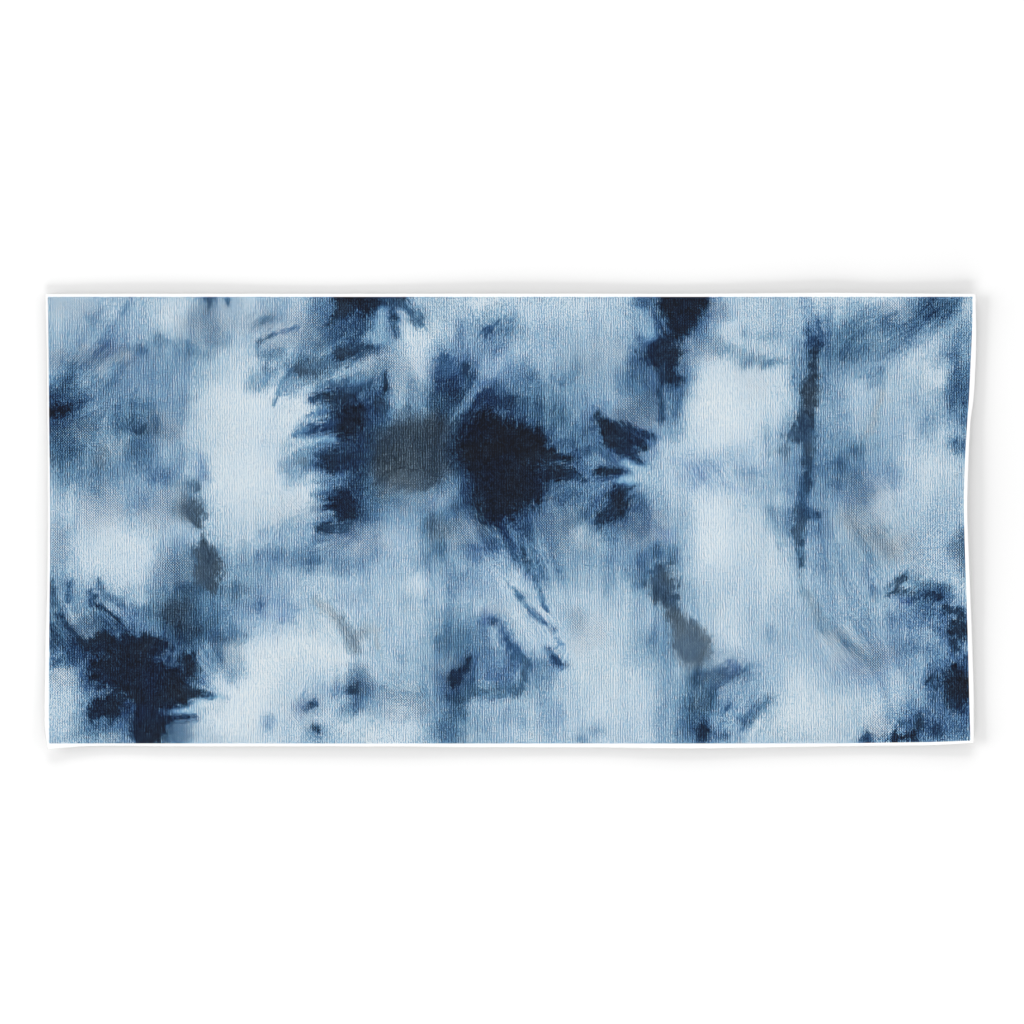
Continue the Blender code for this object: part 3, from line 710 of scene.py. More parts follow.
NEAR_MIDDLE = (
    Pool(CLOUD, 49, 9.6, 2.2, 2.4, 0.14),
    Pool(CLOUD, 89, 14.4, 3.4, 3, 0.64, -0.3),
    Pool(CLOUD, 60, 4.4, 2.8, 2, 0.14),
    Pool(CLOUD, 65.2, 15.4, 2.4, 2, 0.28),
    Pool(CLOUD, 47, 28, 2.6, 1, 0.48, -0.4, -15),
    Pool(CLOUD, 46.6, 26.2, 2, 0.8, 0.4, -0.8),
    Stroke(CLOUD, 53, 28.8, 0.6, 57.6, 25.6, 1, 0.4, 0.9),
    Stroke(CLOUD, 57.6, 25.6, 1, 60.6, 21.6, 1.4, 0.44, 1),
    Pool(CLOUD, 63, 23, 2.6, 1.6, 0.46, 1, -10),
    Pool(CLOUD, 60.8, 19.8, 1.2, 1.4, 0.48, 0.9),
    Stroke(CRISP, 65, 21.4, 0.5, 66.4, 17.4, 0.2, 0.4, 1),
    Pool(CLOUD, 63.6, 20.6, 1.3, 0.8, 0.22, 0.2, -20),
    Pool(CLOUD, 72, 17.3, 2.4, 0.6, 0.38, 0, -5),
    Pool(CLOUD, 52.4, 8.4, 2.2, 2.4, 0.44, -0.1),
    Stroke(WET, 51.2, 7.2, 0.5, 52.6, 8.6, 0.6, 0.80),
    Pool(WET, 52.3, 8.7, 0.6, 0.7, 0.9),
    Pool(CLOUD, 52.8, 3, 2, 2.2, 0.56, -0.1),
    Pool(WET, 53.1, 4, 0.9, 0.6, 0.88, 0, -15),
    Pool(CLOUD, 61, 13, 2.4, 2.4, 0.6),
    Pool(CLOUD, 61, 11.4, 3.4, 2.4, 0.72),
    Pool(WET, 60.6, 11.6, 1.2, 0.8, 0.9),
    Pool(CLOUD, 57.2, 11.4, 1.4, 0.9, 0.5, -0.3),
    Pool(CLOUD, 60.2, 8, 2.4, 1.2, 0.58, -0.1, 30),
    Stroke(CLOUD, 64.5, 11.8, 0.9, 74.5, 11.2, 0.5, 0.54),
    Pool(CLOUD, 81.4, 21.4, 3.4, 2.6, 0.68),
    Pool(CLOUD, 82, 17.6, 2.8, 2.8, 0.68),
    Pool(CLOUD, 82, 13.4, 2.6, 3, 0.86, 0.1),
    Stroke(WET, 83.4, 17.4, 0.8, 80.4, 13.2, 1.6, 0.94),
    Pool(CLOUD, 81, 9.8, 2, 1.4, 0.86, 0.3),
    Pool(CLOUD, 81.6, 7, 1.6, 1.2, 0.76),
    Pool(CLOUD, 78.6, 3, 2, 2.2, 0.6, 0, 20),
    Stroke(CLOUD, 83.5, 11.2, 1.3, 93.5, 11.6, 0.9, 0.74, 0.4),
    Pool(CLOUD, 78.5, 26.5, 3, 1.2, 0.5),
    Pool(CLOUD, 87.4, 25.4, 1.8, 0.9, 0.72, 0, -15),
    Pool(CRISP, 88.3, 25, 0.7, 0.5, 0.84, 0, -20),
    Pool(CLOUD, 86.6, 19.5, 1.2, 3, 0.6, -0.1),
    Pool(CLOUD, 86, 27.8, 1.6, 1.4, 0.24),
    Pool(CLOUD, 88.6, 21.8, 0.9, 2.4, 0.32, 0, 15),
    Stroke(WET, 89.8, 24, 0.5, 92.4, 17.6, 0.9, 0.74, -0.1),
)

NEAR_RIGHT = (
    Pool(CLOUD, 166, 24, 3, 2.4, 0.4, -0.2),
    Pool(CLOUD, 92, 3, 2.8, 1.8, 0.22),
    Pool(CLOUD, 174.4, 26.2, 3.4, 2, 0.68),
    Stroke(WET, 91, 21.6, 0.6, 95, 16.8, 0.9, 0.74),
    Pool(CLOUD, 92.6, 18, 2.2, 1.8, 0.74, 0, -40),
    Stroke(WET, 95, 16.6, 0.8, 93.4, 11, 0.5, 0.74, 0.1),
    Stroke(CRISP, 92.6, 30.4, 0.45, 96, 26.6, 0.5, 0.68, -0.2),
    Stroke(CRISP, 96, 26.6, 0.5, 100.2, 23.2, 0.35, 0.72, -0.2),
    Stroke(CRISP, 97.2, 29.8, 0.5, 98.8, 28, 0.3, 0.5, -0.4),
    Stroke(CRISP, 100.6, 21.8, 0.35, 101.5, 20.5, 0.5, 0.54, -0.6),
    Stroke(CRISP, 101.5, 20.4, 0.4, 103, 17.4, 0.1, 0.42, -0.5),
    Stroke(CRISP, 98.8, 19.4, 0.35, 100.6, 17.2, 0.75, 0.84),
    Stroke(CRISP, 100.4, 17, 0.6, 102.8, 16.2, 0.15, 0.84),
    Pool(CLOUD, 97.6, 21.8, 2.2, 1.6, 0.17, 0, -35),
    Stroke(CLOUD, 93, 26, 0.8, 97.5, 22, 1, 0.24),
    Pool(CLOUD, 97.5, 15, 2.4, 2.6, 0.54),
    Pool(CLOUD, 101.2, 7, 0.9, 2, 0.46, -0.5),
    Pool(CLOUD, 105.4, 1.8, 1.2, 0.8, 0.56, -0.1, -30),
    Pool(CLOUD, 108, 3.4, 2.4, 1.6, 0.42),
    Pool(CLOUD, 104.4, 25.5, 2.4, 3, 0.36),
    Stroke(WET, 120.6, 30.6, 2, 122.6, 29, 1.5, 0.82, 0.5),
    Stroke(WET, 122.6, 29, 1.2, 124.8, 24.4, 1.9, 0.74, 0.8),
    Stroke(WET, 125.6, 24, 2.6, 127.6, 19.6, 3.2, 0.7, 0.9),
    Pool(CLOUD, 127.4, 18.2, 3, 2.6, 0.68, 0.9),
    Pool(CLOUD, 120.4, 21, 1.8, 1.8, 0.54, 0.1),
    Pool(CLOUD, 128.8, 13.8, 2.4, 1.4, 0.76, 0.2, 10),
    Stroke(CLOUD, 129, 14, 1.2, 137.5, 15, 1.2, 0.7),
    Pool(CLOUD, 131, 10.4, 1.8, 2.2, 0.72, 0.1),
    Pool(CLOUD, 128.8, 8, 3, 2.6, 0.7, 0.5),
    Pool(CLOUD, 128.6, 4.8, 2.2, 2, 0.76, 0, 30),
    Pool(WET, 129.4, 3, 1.6, 1.9, 0.94),
    Stroke(CLOUD, 131.5, 2.6, 0.8, 134, 2.4, 0.8, 0.76),
    Pool(CLOUD, 134, 10.6, 1.6, 1.2, 0.38),
    Stroke(CRISP, 133.6, 6.9, 0.35, 134.6, 8.6, 0.5, 0.72),
    Stroke(CLOUD, 131.6, 6, 0.6, 136, 4.2, 0.8, 0.44),
    Stroke(CLOUD, 137.8, 5.2, 1.4, 142.4, 9.2, 1, 0.7),
    Pool(CLOUD, 142.6, 22.2, 1, 2.2, 0.4, -0.2),
    Stroke(CLOUD, 150.5, 30, 1.2, 153.2, 24, 1.2, 0.5, 0.8),
    Stroke(CLOUD, 153.2, 23.6, 1.2, 163.5, 17, 1.4, 0.54, 0.3),
    Pool(CLOUD, 170.5, 19.4, 5, 1.8, 0.56, 0, -10),
    Pool(CLOUD, 170, 25.5, 4, 2, 0.54, -0.2, -10),
    Stroke(CLOUD, 170.5, 29.6, 1.2, 178, 29.6, 1.4, 0.74),
    Pool(WET, 179.2, 26.8, 2.8, 1.4, 0.88, 0, -25),
    Pool(WET, 180.2, 23.6, 2.8, 2.2, 0.93),
    Stroke(WET, 179, 21.5, 1, 179.4, 19.6, 0.7, 0.9),
    Stroke(CLOUD, 175, 23.8, 0.9, 178, 22, 1, 0.66, -0.1),
    Pool(CLOUD, 179.4, 18, 1.4, 0.8, 0.5, -0.2),
    Pool(CRISP, 181.6, 17.8, 0.7, 0.6, 0.84),
    Stroke(WET, 179.2, 16.2, 0.9, 180, 13.5, 2.2, 0.97),
    Stroke(WET, 179.8, 13, 2.8, 180, 10.4, 3, 0.96),
    Stroke(WET, 178.6, 9, 1.4, 181, 6.8, 0.7, 0.88),
    Pool(WET, 174.6, 13.2, 0.9, 1.4, 0.84, 0, -10),
    Pool(CRISP, 175.5, 11.8, 0.5, 0.6, 0.82),
    Stroke(CRISP, 173.7, 10.8, 0.3, 175.2, 9.9, 0.4, 0.74),
    Pool(WET, 172.3, 5, 1.1, 1.5, 0.88),
    Pool(WET, 175.2, 3.6, 1.4, 1.8, 0.84, 0, 25),
    Stroke(WET, 168.2, 4.8, 0.5, 170.2, 4.4, 0.6, 0.76),
    Stroke(WET, 166, 1.8, 0.9, 170.6, 2.2, 0.9, 0.94),
    Pool(WET, 161.8, 1.8, 1.5, 0.9, 0.8),
    Pool(CLOUD, 164, 3.8, 1.6, 1.4, 0.3),
    Pool(CLOUD, 179.5, 3.6, 2.4, 2.4, 0.64),
    Stroke(CLOUD, 176.4, 8.8, 0.5, 181.5, 4.6, 0.6, 0.48),
)

# Bright blue where the dye came out thin and clean
BRIGHT_BLUES = (
    Stroke(CLOUD, 124, 57, 0.5, 130, 53.5, 0.4, 0.36, -0.9),
    Stroke(CLOUD, 127, 51, 0.4, 133, 56, 0.5, 0.34, -0.9),
    Stroke(CLOUD, 131, 53, 0.4, 138, 50.5, 0.4, 0.32, -0.9),
    Pool(CLOUD, 121.8, 42, 1.8, 1.4, 0.46, -0.9),
    Pool(CLOUD, 50.5, 7.8, 1.6, 1.8, 0.42, -0.9),
    Pool(CLOUD, 59, 42, 2, 1.6, 0.68, -0.6),
    Pool(CLOUD, 135.5, 16.2, 1.6, 1.2, 0.54, -0.8),
    Pool(CLOUD, 169, 29.2, 1.8, 1.2, 0.54, -0.8),
    Pool(CLOUD, 87, 26, 1.2, 1.4, 0.54, -0.8),
    Pool(CLOUD, 96, 34, 1.6, 1.6, 0.58, -0.8),
    Pool(CLOUD, 100.8, 16.4, 1.2, 1.2, 0.52, -0.8),
)

MARKS = GROUND + FAR_LEFT + FAR_MIDDLE + FAR_RIGHT + MIDDLE_LEFT + MIDDLE + MIDDLE_RIGHT
MARKS += NEAR_LEFT + NEAR_MIDDLE + NEAR_RIGHT + BRIGHT_BLUES

# Which way the dye has run near a place, in degrees from the towel's length. Elsewhere it
# has run across the towel, along the weft.
Run = namedtuple("Run", "x y reach turn")
RUNS = (
    Run(5, 67, 6, 10),
    Run(12, 77, 7, 25),
    Run(44, 82, 5, 22),
    Run(54, 64, 6, 18),
    Run(55, 70, 5, 5),
    Run(58, 77, 6, 20),
    Run(66, 72, 4, 80),
    Run(72, 85, 4, -40),
    Run(84, 68, 6, 52),
    Run(88, 83, 4, 30),
    Run(54, 57, 6, 0),
    Run(55, 48, 5, 5),
    Run(56, 43, 5, 5),
    Run(70, 55, 7, 10),
    Run(88, 42, 6, -42),
    Run(96, 36, 6, -62),
    Run(97, 26, 6, -42),
    Run(100, 55, 6, 5),
    Run(114, 57, 5, -25),
    Run(112, 53, 4, 5),
    Run(113, 48, 5, 50),
    Run(114, 63, 5, -28),
    Run(121, 83, 3, -50),
    Run(31, 10, 5, -10),
    Run(28, 6, 4, 5),
    Run(11, 26, 5, -35),
    Run(3, 25, 4, -55),
    Run(33, 18, 4, -50),
    Run(70, 11, 5, -3),
    Run(88, 11, 4, 3),
    Run(93, 18, 4, -58),
    Run(101, 18, 3, -48),
    Run(134, 14, 4, 12),
    Run(139, 7, 5, 45),
    Run(165, 82, 7, 18),
    Run(175, 86, 5, 28),
    Run(158, 20, 8, -38),
    Run(162, 42, 6, -35),
    Run(60, 24, 6, -42),
    Run(170, 31, 5, 20),
    Run(131, 54, 5, -35),
)

# Where the raised twill of the cloth shows through the dye, as ovals in cm
Twill = namedtuple("Twill", "x y across up strength")
TWILLS = (
    Twill(5, 87, 4, 2, 0.5),
    Twill(9, 77, 8, 2.2, 1.0),
    Twill(32, 83.5, 5, 3.5, 1.0),
    Twill(42, 84, 5, 3, 0.7),
    Twill(50, 82, 6, 4, 0.9),
    Twill(65, 76, 5, 3, 0.8),
    Twill(72, 73, 5, 4, 0.6),
    Twill(7, 63, 5, 2.5, 1.0),
    Twill(23, 63.5, 4, 2.5, 1.0),
    Twill(14, 59, 3, 1.5, 0.7),
    Twill(11, 47, 3.5, 5, 1.0),
    Twill(24, 47, 4.5, 4, 1.0),
    Twill(26, 34, 4.5, 4, 1.0),
    Twill(2, 40, 2.5, 4, 0.7),
    Twill(50, 47, 5, 2.5, 0.6),
    Twill(62, 41, 6, 2.5, 0.9),
    Twill(73, 50, 7, 3, 0.8),
    Twill(84, 43, 4, 3, 1.0),
    Twill(102, 44, 5, 5, 1.0),
    Twill(118, 43, 4, 4, 1.0),
    Twill(110, 77, 6, 4, 0.6),
    Twill(116, 66, 4, 3, 1.0),
    Twill(129, 78, 4, 3, 0.7),
    Twill(132, 86, 3, 2, 0.8),
    Twill(139, 73, 4, 3, 0.6),
    Twill(161, 48, 6, 5, 0.9),
    Twill(160, 18, 6, 3, 1.0),
    Twill(156, 22, 4, 2, 1.0),
    Twill(168, 86, 4, 2, 0.8),
    Twill(170, 39, 4, 4, 0.6),
    Twill(106, 24, 4, 4, 0.9),
    Twill(88, 27, 3, 2, 0.8),
    Twill(80, 15, 4, 3, 0.8),
    Twill(70, 8, 5, 3, 0.8),
    Twill(61, 14, 4, 3, 0.7),
    Twill(8, 23.5, 3, 2.5, 1.0),
    Twill(3, 14, 3, 2, 0.9),
    Twill(36, 19, 3, 3, 0.7),
    Twill(27, 3, 3, 2, 0.8),
    Twill(13, 2, 3, 1.2, 0.7),
    Twill(128, 19, 4, 5, 0.5),
    Twill(133, 15, 4, 3, 0.7),
    Twill(164, 4, 3, 2, 1.0),
    Twill(180, 39, 2, 3, 0.8),
    Twill(51, 8, 3, 3, 0.8),
)

# The tone of cloth with no mark on it, and how much darker half-dyed cloth comes out
BASE_TONE = 0.30
MID_DEPTH = 0.042

# Where no run is near, the turn of the weft and how strongly the dye has run along it
WEFT_TURN = 90.0
WEFT_PULL = 0.42

# What frays the edges of the marks
EDGE_STREAKS = (Streak(0.75, 6.5, 1.0, 11), Streak(1.6, 10.0, 0.6, 31))
EDGE_NOISE = Noise(1.6, 0.22, 41)

# Wisps in half-dyed cloth, and how far they move its tone and its hue
WISP_STREAKS = (Streak(0.8, 7.0, 1.0, 91), Streak(1.7, 12.0, 1.0, 93))
WISP_NOISE = Noise(3.0, 0.3, 95)
WISP_TONE = 0.14
WISP_HUE = 0.14

# How the hue drifts over the cloth and in crisp marks, and how far it leans towards azure
HUE_NOISE = Noise(9.0, 0.16, 99)
WET_HUE_NOISE = Noise(5.0, 0.3, 97)
HUE_LEAN = 0.152

# How far wisps move the tone of the dark pools, how much paler these come out, from what tone
# on, and over what rise in tone it sets in
WET_WISPS = 0.024
WET_PALER = 0.009
WET_FROM = 0.55
WET_OVER = 0.2

# How ragged a patch of twill is, how far out it is whole, and over how much it fades, in
# shares of its oval
TWILL_NOISE = Noise(2.5, 0.45, 131)
TWILL_WHOLE = 0.6
TWILL_FADE = 0.8

# Keeps a division from meeting zero
TINY = 0.000001

# Crisp marks run together within about this pull, and are measured no deeper or farther
# than these many rims
DROP_PULL = 2.2
DEEPEST = 3.0
FARTHEST = 6.0

# How marks wander: the size of the lumps, how far they push, the half-width of the smallest
# mark that they push, and the seed of the push along the towel and of the one across it
Wander = namedtuple("Wander", "cell_cm reach_cm above_cm along_seed across_seed")
WANDERS = (
    Wander(9.0, 1.5, 3.5, 50, 60),
    Wander(3.6, 0.75, 1.6, 51, 61),
    Wander(1.5, 0.35, 0.0, 52, 62),
    Wander(0.9, 0.16, 0.0, 53, 63),
)

# How dye creeps out of dark pools: how far for each cm of a pool's half-width and up to what
# half-width, how much, from what tone on, to what share of the pool's own tone, and its hue
CREEP_REACH = 2.0
CREEP_WIDEST = 2.8
CREEP_SHARE = 0.42
CREEP_FROM = 0.70
CREEP_TONE = 0.80
CREEP_HUE = -0.5

# How softly the print ends, in metres, and the gap round each half of the map
PRINT_SOFTNESS = 0.0005
MAP_GAP = 0.004

# Pitches of the threads, of the twill and of the loops underneath, in metres
THREAD_PITCH = 0.0047
TWILL_PITCH = 0.0050
LOOP_PITCH = 0.0030

# Lumps in the finishes: their size along and across the towel in metres, and their seed. The
# gain brings the noise out to -1 and 1.
Lump = namedtuple("Lump", "along across seed")
THREAD_WOBBLE = Lump(0.016, 0.040, 3.0)
THREAD_BREAKS = Lump(0.0070, 0.0090, 13.0)
THREAD_SLUBS = Lump(0.0025, 0.0085, 11.0)
TWILL_WOBBLE = Lump(0.030, 0.030, 23.0)
FLECKS = Lump(0.0021, 0.0027, 31.0)
BLOTCHES = Lump(0.0100, 0.0120, 37.0)
FLOOR_LUMPS = Lump(0.9, 0.9, 41.0)
LUMP_GAIN = 4.0

# How far threads and twill stray from straight lines, in metres, and how much of the threads
# is even, broken, or slubbed
THREAD_STRAY = 0.0010
TWILL_STRAY = 0.0009
EVEN_SHARE = 0.5
BROKEN_SHARE = 0.7
SLUB_SHARE = 0.5

# Fine streaks of dye: the bands in a bundle of them, how straight they run, and the pitch in
# metres and the weight of each size
STREAK_BANDS = 2.0
STREAK_STRAIGHTNESS = 0.9
STREAK_SIZES = ((0.0100, 0.7), (0.0052, 0.6))

# How far the twill stands out in its patches and elsewhere
TWILL_PATCHES = 0.55
TWILL_EVERYWHERE = 0.42

# How much the parts of the weave change the tone of the cloth, fray the edges of crisp marks,
# and stand up as relief
Weave = namedtuple("Weave", "thread twill blotch fleck streak")
TONE_WEAVE = Weave(0.31, 0.60, 0.02, 0.42, 0.0)
EDGE_WEAVE = Weave(0.35, 0.5, 0.5, 0.4, 0.8)
RELIEF_WEAVE = Weave(0.35, 0.5, 0.0, 0.5, 0.0)

# How far the threads show where dye has bled, up to what steepness of the bleed, and how far
# the fine streaks show in half-dyed cloth
BLEED_TONE = 0.40
BLEED_LIMIT = 0.30
STREAK_TONE = 0.85

# How much of the grain the darkest cloth loses, and what a dark pool keeps of the grain, of
# the blotches and of the fine streaks
DARK_CALM = 0.45
DARK_GRAIN = 0.45
DARK_BLOTCH = 0.04
DARK_STREAK = 0.05

# How cotton shines, how rough each finish is, how far its flecks or loops change that, and
# how deep its relief is, in metres
COTTON_SHINE = 0.08
COTTON_SHEEN = 0.12
SHEEN_ROUGHNESS = 0.45
VELOUR_ROUGHNESS = 0.92
VELOUR_ROUGHER = 0.03
VELOUR_DEPTH = 0.00012
TERRY_ROUGHNESS = 0.90
TERRY_ROUGHER = 0.05
TERRY_DEPTH = 0.0010

# The painted shade between the loops underneath, and the heights at which it begins and ends
TERRY_SHADE = (0.66, 0.65, 0.62, 1.0)
SHADE_BELOW = 0.2
WHITE_ABOVE = 0.9

# How much paler than its colour the floor is at its palest
FLOOR_PALER = 1.01

# The light that the studio throws on flat cloth, where 1 shows a white finish as white
STUDIO_LIGHT = 1.17

# Colours on screen of each kind of dye, from bare cloth to its darkest, in even steps
INDIGO = (
    (233, 237, 239),
    (210, 225, 231),
    (183, 210, 226),
    (156, 193, 216),
    (129, 176, 206),
    (103, 152, 188),
    (77, 123, 161),
    (57, 94, 133),
    (41, 65, 95),
    (29, 42, 63),
    (21, 23, 30),
)
CHARCOAL = (
    (224, 230, 232),
    (208, 218, 223),
    (193, 207, 216),
    (173, 192, 204),
    (152, 173, 189),
    (127, 149, 167),
    (101, 124, 143),
    (78, 98, 116),
    (58, 75, 89),
    (41, 50, 60),
    (27, 28, 32),
)
AZURE = (
    (224, 236, 243),
    (202, 223, 236),
    (178, 207, 229),
    (152, 189, 219),
    (128, 170, 208),
    (100, 144, 191),
    (74, 116, 168),
    (52, 89, 146),
    (34, 61, 112),
    (24, 39, 76),
    (20, 23, 34),
)

# Width of the camera's film in mm
SENSOR_WIDTH = 36.0

# The studio's lights. The one on the cloth hangs high over it. Those on the floor stand far
# off and low all round it, so that the edge of the towel throws a soft shadow.
SoftBox = namedtuple("SoftBox", "name stand target across up watts lights")
SOFTBOXES = (
    SoftBox("over_cloth", (0.0, 0.0, 4.0), (0.0, 0.0, 0.0), 6.0, 6.0, 253.0, "cloth"),
    SoftBox("left_of_floor", (-14.0, 0.3, 2.35), (0.0, 0.2, 0.0), 14.0, 4.3, 4800.0, "floor"),
    SoftBox("near_floor", (0.2, -14.0, 2.35), (0.0, 0.0, 0.0), 14.0, 4.3, 4800.0, "floor"),
    SoftBox("far_of_floor", (0.0, 14.0, 2.35), (0.0, 0.0, 0.0), 14.0, 4.3, 3900.0, "floor"),
    SoftBox("right_of_floor", (14.0, 0.0, 2.35), (0.0, 0.0, 0.0), 14.0, 4.3, 2150.0, "floor"),
)


def smooth_step(share):
    """Ease from 0 to 1 with level ends."""
    share = np.clip(share, 0.0, 1.0)
    return share * share * (3.0 - 2.0 * share)


def lump_noise(x, y, cell, seed):
    """Smooth random values from -1 to 1, one lump to a cell, on a lattice turned by its seed."""
    lattice = np.random.default_rng(seed).uniform(-1.0, 1.0, (LATTICE, LATTICE))
    col = (x * math.cos(seed) + y * math.sin(seed)) / cell
    row = (y * math.cos(seed) - x * math.sin(seed)) / cell
    col_low, row_low = np.floor(col).astype(int), np.floor(row).astype(int)
    share_x, share_y = smooth_step(col - col_low), smooth_step(row - row_low)
    left, right = col_low % LATTICE, (col_low + 1) % LATTICE
    near, far = row_low % LATTICE, (row_low + 1) % LATTICE
    near_value = lattice[near, left] * (1.0 - share_x) + lattice[near, right] * share_x
    far_value = lattice[far, left] * (1.0 - share_x) + lattice[far, right] * share_x
    return near_value * (1.0 - share_y) + far_value * share_y


def layered_noise(x, y, noise):
    """Lumps with finer lumps on them."""
    total = lump_noise(x, y, noise.cell_cm, noise.seed)
    total += FINER_LUMPS * lump_noise(x, y, noise.cell_cm / 2, noise.seed + 1)
    total += FINEST_LUMPS * lump_noise(x, y, noise.cell_cm / 4, noise.seed + 2)
    return noise.weight * total


def run_of_dye(x, y):
    """The way the dye has run at each place, as a unit vector whose sign means nothing, and
    how strongly it has run, from 0 to 1."""
    across = 2.0 * math.radians(WEFT_TURN)
    east = np.full_like(x, math.cos(across) * WEFT_PULL)
    north = np.full_like(x, math.sin(across) * WEFT_PULL)
    strength = np.full_like(x, WEFT_PULL)
    for run in RUNS:
        pull = np.exp(-((x - run.x) ** 2 + (y - run.y) ** 2) / run.reach ** 2)
        east += pull * math.cos(2.0 * math.radians(run.turn))
        north += pull * math.sin(2.0 * math.radians(run.turn))
        strength = np.maximum(strength, pull)
    turn = np.arctan2(north, east) / 2.0
    return (np.cos(turn), np.sin(turn)), strength


def streak_noise(x, y, way, streaks):
    """Lumps drawn out along a direction."""
    total = 0.0
    for streak in streaks:
        drawn = 0.0
        for step in np.linspace(-0.5, 0.5, STREAK_STEPS) * streak.long_cm:
            drawn = drawn + lump_noise(x + way[0] * step, y + way[1] * step, streak.wide_cm, streak.seed)
        total = total + streak.weight * drawn * STREAK_GAIN / STREAK_STEPS
    return total


def stroke_edge(stroke, x, y):
    """Distance outside a stroke's edge, and the way straight out of it."""
    along_x, along_y = stroke.to_x - stroke.x, stroke.to_y - stroke.y
    share = (x - stroke.x) * along_x + (y - stroke.y) * along_y
    share = np.clip(share / (along_x ** 2 + along_y ** 2), 0.0, 1.0)
    out_x, out_y = x - stroke.x - along_x * share, y - stroke.y - along_y * share
    gap = np.hypot(out_x, out_y) + TINY
    return gap - stroke.wide - (stroke.to_wide - stroke.wide) * share, out_x / gap, out_y / gap


def pool_edge(pool, x, y):
    """Distance outside a pool's edge, and the way straight out of it."""
    turn = math.radians(pool.turn)
    over_x, over_y = x - pool.x, y - pool.y
    across = (over_x * math.cos(turn) + over_y * math.sin(turn)) / pool.across
    up = (over_y * math.cos(turn) - over_x * math.sin(turn)) / pool.up
    ring = np.hypot(across, up) + TINY
    steep_across, steep_up = across / pool.across / ring, up / pool.up / ring
    steep = np.hypot(steep_across, steep_up) + TINY
    out_x = (steep_across * math.cos(turn) - steep_up * math.sin(turn)) / steep
    out_y = (steep_across * math.sin(turn) + steep_up * math.cos(turn)) / steep
    return (ring - 1.0) / steep, out_x, out_y


def mark_half(mark):
    """The smaller half-width of a mark."""
    if isinstance(mark, Stroke):
        return (mark.wide + mark.to_wide) / 2
    return min(mark.across, mark.up)


def mark_rim(mark):
    """Half the width of a mark's soft rim."""
    return mark.edge.rim_cm + mark.edge.rim_share * mark_half(mark)


def mark_distance(mark, x, y, way, feather, wanders):
    """How far outside a mark each place lies, with the mark's edge feathered and wandering."""
    half = mark_half(mark)
    for noise_x, noise_y, widest_for in wanders:
        if half > widest_for:
            x = x + mark.edge.wander * noise_x
            y = y + mark.edge.wander * noise_y
    measure = stroke_edge if isinstance(mark, Stroke) else pool_edge
    distance, out_x, out_y = measure(mark, x, y)
    headlong = np.abs(out_x * way[0] + out_y * way[1])
    return distance + mark.edge.feather_cm * feather * headlong ** 2


def paint_soft_marks(marks, distance_of, tone, hue):
    """Lay soft clouds over each other in order."""
    for mark in marks:
        depth = distance_of(mark) / mark_rim(mark)
        share = mark.edge.cover * (1.0 - smooth_step(0.5 + depth / 2.0))
        tone += share * (mark.tone - tone)
        hue += share * (mark.hue - hue)


def creep_out(marks, distance_of, tone, hue):
    """Dye that has crept out of the dark pools into the cloth round them."""
    for mark in marks:
        reach = CREEP_REACH * min(mark_half(mark), CREEP_WIDEST)
        share = CREEP_SHARE * (1.0 - max(mark.hue, 0.0)) * (1.0 - smooth_step(distance_of(mark) / reach))
        tone += share * np.maximum(mark.tone * CREEP_TONE - tone, 0.0)
        hue += share * (CREEP_HUE + mark.hue - hue)


def join_marks(marks, distance_of, ground, hue):
    """Run marks together like drops: their common edge in rims, and the tone inside it."""
    total = np.zeros_like(ground)
    joined_tone = np.zeros_like(ground)
    joined_hue = np.zeros_like(ground)
    for mark in marks:
        depth = np.clip(distance_of(mark) / mark_rim(mark), -DEEPEST, FARTHEST)
        weight = np.exp(-DROP_PULL * depth)
        total += weight
        joined_tone += weight * (ground + mark.edge.cover * (mark.tone - ground))
        joined_hue += weight * (hue + mark.edge.cover * (mark.hue - hue))
    return -np.log(total) / DROP_PULL, joined_tone / total, joined_hue / total


def paint_dye(x, y):
    """The dye at places in cm: its tone and hue, and the edges, tones and hues of crisp marks."""
    way, strength = run_of_dye(x, y)
    feather = strength * streak_noise(x, y, way, EDGE_STREAKS) + layered_noise(x, y, EDGE_NOISE)
    wanders = []
    for wander in WANDERS:
        noise_x = lump_noise(x, y, wander.cell_cm, wander.along_seed) * wander.reach_cm
        noise_y = lump_noise(x, y, wander.cell_cm, wander.across_seed) * wander.reach_cm
        wanders.append((noise_x, noise_y, wander.above_cm))

    def distance_of(mark):
        return mark_distance(mark, x, y, way, feather, wanders)

    soft_marks = [mark for mark in MARKS if mark.edge in (MIST, CLOUD)]
    wet_marks = [mark for mark in MARKS if mark.edge in (WET, CRISP)]
    bare_marks = [mark for mark in MARKS if mark.edge is BARE]
    tone = np.full_like(x, BASE_TONE)
    hue = np.zeros_like(x)
    paint_soft_marks(soft_marks, distance_of, tone, hue)
    creep_out([mark for mark in wet_marks if mark.tone > CREEP_FROM], distance_of, tone, hue)
    wisps = strength * streak_noise(x, y, way, WISP_STREAKS) + layered_noise(x, y, WISP_NOISE)
    tone += (MID_DEPTH + WISP_TONE * wisps) * 4.0 * tone * (1.0 - tone)
    np.clip(tone, 0.0, 1.0, out=tone)
    hue += layered_noise(x, y, HUE_NOISE) - HUE_LEAN - WISP_HUE * wisps
    edge, wet_tone, wet_hue = join_marks(wet_marks, distance_of, tone, hue)
    wet_tone += (WET_WISPS * wisps - WET_PALER) * smooth_step((wet_tone - WET_FROM) / WET_OVER)
    wet_hue += layered_noise(x, y, WET_HUE_NOISE)
    return tone, hue, (edge, wet_tone, wet_hue), join_marks(bare_marks, distance_of, tone, hue)


